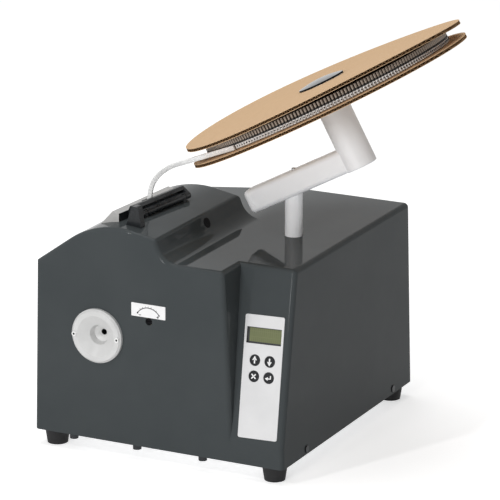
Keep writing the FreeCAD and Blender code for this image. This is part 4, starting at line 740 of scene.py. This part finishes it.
# %% One ferrule and the outer turn
GAP_LOW_MM = FLANGE_T_MM
TURN_R_MM = 130.6
COLLAR_R_MM = 1.72
COLLAR_ROUND_MM = 0.25
COLLAR_CLEAR_MM = 0.7
COLLAR_LONG_MM = 4.2
COLLAR_LOW_MM = GAP_LOW_MM + COLLAR_CLEAR_MM
COLLAR_TOP_MM = COLLAR_LOW_MM + COLLAR_LONG_MM
BARREL_R_MM = 1.66
SHADE_BAND_HIGH_MM = 1.9
SHADE_BAND_SINK_MM = 0.05
MOUTH_R_MM = 0.8
MOUTH_LONG_MM = 0.4
MOUTH_SINK_MM = 0.15
FERRULE_SIDES = 10
WARP_ROOM_MM = 2.6
BARREL_TOP_MM = GAP_LOW_MM + REEL_GAP_MM - WARP_ROOM_MM
collar = drum(COLLAR_R_MM, COLLAR_LONG_MM, COLLAR_LOW_MM, FERRULE_SIDES)
paint(bevel(collar, COLLAR_ROUND_MM, segments=1), collar_plastic)
barrel = drum(BARREL_R_MM, BARREL_TOP_MM - COLLAR_TOP_MM, COLLAR_TOP_MM, FERRULE_SIDES)
paint(barrel, ferrule_metal)
# A thin dark band sits at the top of each collar: painted shade where the barrel meets the collar.
collar_shade_band = drum(COLLAR_R_MM, SHADE_BAND_HIGH_MM, COLLAR_TOP_MM - SHADE_BAND_SINK_MM, FERRULE_SIDES)
paint(collar_shade_band, mouth_shadow)
# The mouth is a dark disc on the collar's side: painted shade inside its opening.
mouth = paint(drum(MOUTH_R_MM, MOUTH_LONG_MM, low=0.0, sides=8), mouth_shadow)
carry(mouth, Matrix.Rotation(math.pi / 2, 4, "Y"))
carry(mouth, Matrix.Translation(((COLLAR_R_MM - MOUTH_SINK_MM) * MM, 0, COLLAR_LEVEL_MM * MM)))
ferrule = soften(join([collar, barrel, collar_shade_band, mouth], "ferrule"), degrees=50)
ferrule_count = round(2 * math.pi * TURN_R_MM / LINK_PITCH_MM)
step = 2 * math.pi / ferrule_count
outward = Matrix.Translation((TURN_R_MM * MM, 0, 0))
turn_pieces = []
for number in range(ferrule_count):
    swing = STRIP_LEAVE + (number + 0.5) * step
    turn_pieces.append(twin(ferrule, Matrix.Rotation(swing, 4, "Z") @ outward))
bpy.data.objects.remove(ferrule)
print("ferrules in the turn", ferrule_count)

# %% Turns underneath
UNDER_R_MM = 129.8
UNDER_RIB_MM = 0.9
UNDER_CLEAR_MM = 0.6
CARRIER_PROUD_MM = 0.3
CARRIER_DEEP_MM = 3.0
CARRIER_HIGH_MM = 3.0
CARRIER_LIFT_MM = 0.8
under_high = REEL_GAP_MM - WARP_ROOM_MM - UNDER_CLEAR_MM
under = drum(UNDER_R_MM, under_high, GAP_LOW_MM + UNDER_CLEAR_MM, 2 * ferrule_count)
for vertex in under.data.vertices:
    turn_number = round(math.atan2(vertex.co.y, vertex.co.x) / (math.pi / ferrule_count))
    if turn_number % 2:
        vertex.co.x *= 1 - UNDER_RIB_MM / UNDER_R_MM
        vertex.co.y *= 1 - UNDER_RIB_MM / UNDER_R_MM
paint(under, ferrule_metal)
carrier = ring(
    UNDER_R_MM + CARRIER_PROUD_MM, UNDER_R_MM - CARRIER_DEEP_MM,
    CARRIER_HIGH_MM, COLLAR_LOW_MM + CARRIER_LIFT_MM)
paint(carrier, carrier_shade)
winding = join(turn_pieces + [under, carrier], "winding")
carry(winding, REEL)
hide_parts("wound_strip", "outer_turn")
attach(winding, "reel")
print("winding faces", len(winding.data.polygons))

# %% [markdown]
# ## Smooth skins for the moulded and painted pieces
#
# The CAD mesh comes with every face cut apart, so light breaks at each facet. A copy with its corners
# merged, smooth over all but the sharp edges and with normals that favour the large faces, shows the same
# form as one moulded skin. The copy stands for its CAD piece and rides the same body.

# %% Skins
slot_finish = {
    "casing_plastic": casing_gloss,
    "zinc_steel": zinc_steel,
    "black_steel": black_steel,
    "rubber": foot_rubber,
    "funnel_plastic": funnel_grey,
    "cover_plastic": cover_plastic,
    "label_white": label_film,
    "foil_white": foil_print,
    "display_green": display_glass,
    "circuit_green": circuit_lacquer,
    "key_dark": key_plastic,
    "black_plastic": black_moulding_and_shade,
    "silver_paint": silver_paint,
    "aluminium": bare_aluminium,
    "card": flute_paper_and_shade,
    "strip_plastic": collar_plastic,
    "tool_steel": tool_steel,
    "brass": turned_brass,
    "motor_metal": motor_paint,
}


MERGE_MM = 0.004
SMOOTH_DEGREES = 32


def skin(node, material=None):
    """A smooth copy that stands for a CAD piece."""
    mesh = frame["nodes"][node].data.copy()
    piece = bpy.data.objects.new(node + "_skin", mesh)
    bpy.context.scene.collection.objects.link(piece)
    only(piece)
    bpy.ops.mesh.customdata_custom_splitnormals_clear()
    bpy.ops.object.mode_set(mode="EDIT")
    bpy.ops.mesh.select_all(action="SELECT")
    bpy.ops.mesh.remove_doubles(threshold=MERGE_MM * MM)
    bpy.ops.object.mode_set(mode="OBJECT")
    soften(piece, SMOOTH_DEGREES)
    weighted = piece.modifiers.new("large_faces", "WEIGHTED_NORMAL")
    weighted.keep_sharp = True
    apply_all(piece)
    paint(piece, material or slot_finish[slot_of_node[node]])
    for face in mesh.polygons:
        face.material_index = 0
    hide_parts(node)
    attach(piece, body_of_node[node])
    return piece


SKINNED = (
    "casing", "rubber_feet", "entry_funnel", "funnel_screws", "adjust_screw", "control_panel", "feed_guide",
    "feed_flap", "feed_end_stop", "wall_plug", "reel_post", "swing_arm", "clamp_screw", "spindle_housing",
    "hub_cap", "side_screws", "base_screws", "flap_hinge", "mains_inlet", "switch_housing", "power_rocker",
    "key_up", "key_down", "key_clear", "key_enter", "display_module",
)
OWN_FINISH = {
    "hub_cap": polished_steel,
    "wall_plug": plug_black_and_shade,
    "adjust_screw": plug_black_and_shade,
    "funnel_screws": collar_plastic,
}
skins = {node: skin(node, material=OWN_FINISH.get(node)) for node in SKINNED}
print("skins", len(skins))

# %% Painted shade on the cover's inner wall
INNER_WALL_FACING = 0.8
cover_skin = skins["feed_guide"]
# The right-facing inner wall of the pale cover is painted black as shade; the same black also serves the
# real black mouldings.
cover_skin.data.materials.append(black_moulding_and_shade)
for face in cover_skin.data.polygons:
    if face.normal.x > INNER_WALL_FACING:
        face.material_index = 1
print("inner wall faces", sum(face.material_index for face in cover_skin.data.polygons))

# %% Painted shade: a dark bore in the funnel, dark sockets in its screws, and a dark rim on the cap
BORE_REACH_MM = 3.1
SCREW_REACH_MM = 24.2
SOCKET_REACH_MM = 1.15
CAP_TOP_FACING = 0.6
funnel_low, funnel_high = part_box("entry_funnel")
funnel_middle = (funnel_low + funnel_high) / 2
funnel_skin = skins["entry_funnel"]
# The bore's wall is painted black as shade inside the hole; the same black also serves the real black plug
# and screw.
funnel_skin.data.materials.append(plug_black_and_shade)
for face in funnel_skin.data.polygons:
    away = face.center - funnel_middle
    if math.hypot(away.x, away.z) < BORE_REACH_MM * MM:
        face.material_index = 1
screw_skin = skins["funnel_screws"]
# The sockets in the pale screws are painted black as shade inside them.
screw_skin.data.materials.append(plug_black_and_shade)
for face in screw_skin.data.polygons:
    away = face.center - funnel_middle
    if math.hypot(abs(away.x) - SCREW_REACH_MM * MM, away.z) < SOCKET_REACH_MM * MM:
        face.material_index = 1
cap_skin = skins["hub_cap"]
# The cap's rim wall is painted black as shade along its lower edge.
cap_skin.data.materials.append(plug_black_and_shade)
for face in cap_skin.data.polygons:
    if face.normal.dot(reel_axis) < CAP_TOP_FACING:
        face.material_index = 1
for piece in (funnel_skin, screw_skin, cap_skin):
    print(piece.name, "dark faces", sum(face.material_index for face in piece.data.polygons))

# %% The display's dark bezel, and a printed border whose wider left and lower bars are painted shadow of the recess
BEZEL_LOW_MM = -5.0
module = skins["display_module"]
module.data.materials.append(black_moulding_and_shade)
into_panel = PANEL.inverted()
for face in module.data.polygons:
    if (into_panel @ face.center).z > BEZEL_LOW_MM * MM:
        face.material_index = 1
LCD_WIDE_MM = 38.0
LCD_HIGH_MM = 16.3
LCD_V_MM = 40.8
LENS_FACE_MM = -2.0
BORDER_THICK_MM = 0.08
BORDER_TRIM_MM = 0.1
BORDER_LEFT_MM = 2.2
BORDER_RIGHT_MM = 1.0
BORDER_TOP_MM = 1.0
BORDER_FOOT_MM = 1.7
# The thin right and top bars are the lens's dark frame; the wider left and lower bars are painted shadow
# cast by the recess's edges.
border_bars = (
    (BORDER_LEFT_MM, LCD_HIGH_MM, BORDER_LEFT_MM / 2 - LCD_WIDE_MM / 2, 0.0),
    (BORDER_RIGHT_MM, LCD_HIGH_MM, LCD_WIDE_MM / 2 - BORDER_RIGHT_MM / 2, 0.0),
    (LCD_WIDE_MM, BORDER_TOP_MM, 0.0, LCD_HIGH_MM / 2 - BORDER_TOP_MM / 2),
    (LCD_WIDE_MM, BORDER_FOOT_MM, 0.0, BORDER_FOOT_MM / 2 - LCD_HIGH_MM / 2),
)
border = []
for wide, high, u, v in border_bars:
    centre = (u, LCD_V_MM + v, LENS_FACE_MM + BORDER_THICK_MM / 2)
    border.append(block(wide - BORDER_TRIM_MM, high - BORDER_TRIM_MM, BORDER_THICK_MM, centre))
display_frame_and_shadow = paint(join(border, "display_frame_and_shadow"), frame_ink_and_shadow)
carry(display_frame_and_shadow, PANEL)
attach(display_frame_and_shadow, "base")
print("bezel faces", sum(face.material_index for face in module.data.polygons))

# %% [markdown]
# ## Symbols on the keys and the scale on the label
#
# Print is ink a few hundredths of a millimetre thick. It could be a pattern in the surface, but small
# raised shapes keep crisp edges at any size. The key symbols are plain: up, down, a cross to clear and a
# bent arrow to enter. The label carries a bare arc with ticks, a minus and a plus.

# %% Key symbols
KEY_TOP_MM = 1.1
INK_MM = 0.12
KEY_PLACES = {
    "key_up": (-8.1, 16.3), "key_down": (8.1, 16.3), "key_clear": (-8.1, 0.3), "key_enter": (8.1, 0.3),
}


def bar(width, height, u=0.0, v=0.0, turn=0.0):
    """A flat printed bar in a symbol's own plane."""
    piece = block(width, height, INK_MM)
    carry(piece, Matrix.Rotation(math.radians(turn), 4, "Z"))
    return carry(piece, Matrix.Translation((u * MM, v * MM, 0)))


def head(size, u, v, turn):
    """A flat printed triangle that points up before it is turned."""
    piece = drum(size, INK_MM, -INK_MM / 2, sides=3)
    carry(piece, Matrix.Rotation(math.radians(turn), 4, "Z"))
    return carry(piece, Matrix.Translation((u * MM, v * MM, 0)))


# Each stroke gives its size, its place from the key's middle in millimetres, and its turn in degrees.
symbol_parts = {
    "key_up": [bar(1.5, 4.6, 0, -0.9), head(2.9, 0, 1.6, 0)],
    "key_down": [bar(1.5, 4.6, 0, 0.9), head(2.9, 0, -1.6, 180)],
    "key_clear": [bar(1.3, 6.4, turn=45), bar(1.3, 6.4, turn=-45)],
    "key_enter": [bar(1.2, 3.6, 2.2, 0.6), bar(3.6, 1.2, 0.7, -0.8), head(2.2, -1.6, -0.8, 90)],
}
for node, parts in symbol_parts.items():
    symbol = paint(join(parts, node + "_symbol"), symbol_white)
    u, v = KEY_PLACES[node]
    carry(symbol, PANEL @ Matrix.Translation((u * MM, v * MM, KEY_TOP_MM * MM)))
    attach(symbol, body_of_node[node])
print("symbols", list(symbol_parts))

# %% Scale on the label
label_low, label_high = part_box("scale_plate")
label_middle = (label_low + label_high) / 2
LABEL = FRONT.copy()
LABEL.translation = Vector((label_middle.x, label_low.y, label_middle.z))
ARC_R_MM = 14.4
ARC_DROP_MM = 11.1
ARC_HALF_MM = 0.45
ARC_END_MM = 8.0
TICK_DEGREES = (-36, -24, -12, 0, 12, 24, 36)
TICK_WIDE_MM = 0.35
TICK_LONG_MM = 1.1
TICK_REACH_MM = 1.1
DOT_R_MM = 0.9
SIGN_LONG_MM = 2.6
SIGN_WIDE_MM = 0.7
SIGN_DROP_MM = 5.0
MINUS_U_MM = -9.4
PLUS_U_MM = 10.6
arc = ring(ARC_R_MM + ARC_HALF_MM, ARC_R_MM - ARC_HALF_MM, INK_MM, -INK_MM / 2, sides=96)
only(arc)
bpy.ops.object.mode_set(mode="EDIT")
bpy.ops.mesh.select_all(action="SELECT")
bpy.ops.mesh.bisect(
    plane_co=(0, ARC_END_MM * MM, 0), plane_no=(0, 1, 0),
    use_fill=True, clear_inner=True, clear_outer=False)
bpy.ops.object.mode_set(mode="OBJECT")
lowered = Matrix.Translation((0, -ARC_DROP_MM * MM, 0))
carry(arc, lowered)
marks = []
for degrees in TICK_DEGREES:
    tick = bar(TICK_WIDE_MM, TICK_LONG_MM, 0, ARC_R_MM + TICK_REACH_MM)
    carry(tick, Matrix.Rotation(math.radians(degrees), 4, "Z"))
    marks.append(carry(tick, lowered))
arc_end = math.sqrt(ARC_R_MM ** 2 - ARC_END_MM ** 2)
for side in (-1, 1):
    dot = drum(DOT_R_MM, INK_MM, -INK_MM / 2, sides=16)
    marks.append(carry(dot, Matrix.Translation((side * arc_end * MM, (ARC_END_MM - ARC_DROP_MM) * MM, 0))))
signs = [
    bar(SIGN_LONG_MM, SIGN_WIDE_MM, MINUS_U_MM, -SIGN_DROP_MM),
    bar(SIGN_LONG_MM, SIGN_WIDE_MM, PLUS_U_MM, -SIGN_DROP_MM),
    bar(SIGN_WIDE_MM, SIGN_LONG_MM, PLUS_U_MM, -SIGN_DROP_MM),
]
scale_print = paint(join([arc] + marks + signs, "scale_print"), scale_ink)
carry(scale_print, LABEL)
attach(scale_print, "base")
print("scale faces", len(scale_print.data.polygons))

# %% [markdown]
# ## Finishes on the pieces that stay as CAD
#
# Everything inside the casing, and the plain turned and cut pieces, keep their CAD mesh and take the
# finish of their material slot.

# %% Remaining CAD pieces
kept = [node for node, piece in frame["nodes"].items() if not piece.hide_render]
for node in kept:
    paint(frame["nodes"][node], slot_finish[slot_of_node[node]])
print("kept CAD pieces", len(kept))

# %% [markdown]
# ## Floor and light
#
# The photograph is a product shot on white. A pale floor takes the object's own soft shadow, and glows a
# little for the camera and for reflections, so that it reads as white paper. The sky is white to the same
# rays and weaker as a light on matt things. That leaves room for three lamps: a broad one overhead, one low
# in front that reaches under the reel, and a small one that draws the edges.

# %% Rays that see the background
def background_rays(tree):
    """One for rays that come from the camera, a reflection or a clear piece."""
    rays = tree.nodes.new("ShaderNodeLightPath")
    total = rays.outputs["Is Camera Ray"]
    for name in ("Is Glossy Ray", "Is Transmission Ray"):
        larger = tree.nodes.new("ShaderNodeMath")
        larger.operation = "MAXIMUM"
        tree.links.new(total, larger.inputs[0])
        tree.links.new(rays.outputs[name], larger.inputs[1])
        total = larger.outputs["Value"]
    return total


# %% Floor
FLOOR_SIZE_M = 40
FLOOR_GREY = 0.94
FLOOR_GLOW = 0.52
bpy.ops.object.select_all(action="DESELECT")
bpy.ops.mesh.primitive_plane_add(size=FLOOR_SIZE_M)
floor = settle(bpy.context.object, "floor")
floor_paper, tree, shader, place = bare_material("floor_paper")
shader.inputs["Base Color"].default_value = grey(FLOOR_GREY)
shader.inputs["Roughness"].default_value = 0.9
shader.inputs["Specular IOR Level"].default_value = 0.0
shader.inputs["Emission Color"].default_value = grey(1.0)
glow = tree.nodes.new("ShaderNodeMath")
glow.operation = "MULTIPLY"
glow.inputs[1].default_value = FLOOR_GLOW
tree.links.new(background_rays(tree), glow.inputs[0])
tree.links.new(glow.outputs["Value"], shader.inputs["Emission Strength"])
paint(floor, floor_paper)

# %% White surroundings
ROOM_LIGHT = 0.30
world = bpy.data.worlds.new("white_room")
bpy.context.scene.world = world
world.use_nodes = True
tree = world.node_tree
tree.nodes.clear()
bright = tree.nodes.new("ShaderNodeBackground")
bright.inputs["Color"].default_value = grey(1.0)
bright.inputs["Strength"].default_value = 1.0
soft = tree.nodes.new("ShaderNodeBackground")
soft.inputs["Color"].default_value = grey(1.0)
soft.inputs["Strength"].default_value = ROOM_LIGHT
chosen = tree.nodes.new("ShaderNodeMixShader")
out = tree.nodes.new("ShaderNodeOutputWorld")
tree.links.new(background_rays(tree), chosen.inputs["Fac"])
tree.links.new(soft.outputs["Background"], chosen.inputs[1])
tree.links.new(bright.outputs["Background"], chosen.inputs[2])
tree.links.new(chosen.outputs["Shader"], out.inputs["Surface"])


# %% Lamps
def softbox(name, place, wide, deep, watts):
    bpy.ops.object.select_all(action="DESELECT")
    bpy.ops.object.light_add(type="AREA")
    lamp = bpy.context.object
    lamp.name = name
    lamp.data.shape = "RECTANGLE"
    lamp.data.size = wide
    lamp.data.size_y = deep
    lamp.data.energy = watts
    lamp.location = place
    lamp.rotation_euler = (MIDDLE - place).to_track_quat("-Z", "Y").to_euler()


# Each lamp has a name, a place from the object's middle and a size in metres, and a power in watts.
LAMPS = (
    ("overhead_softbox", (-0.3, 0.1, 2.6), 1.6, 1.4, 26),
    ("front_softbox", (0.0, -3.1, 0.75), 0.8, 0.8, 40),
    ("edge_light", (-1.15, -2.3, 2.5), 0.12, 0.12, 16),
)
for name, offset, wide, deep, watts in LAMPS:
    softbox(name, MIDDLE + Vector(offset), wide, deep, watts)
bpy.context.scene.view_settings.view_transform = "Standard"
print("lamps", [lamp[0] for lamp in LAMPS])
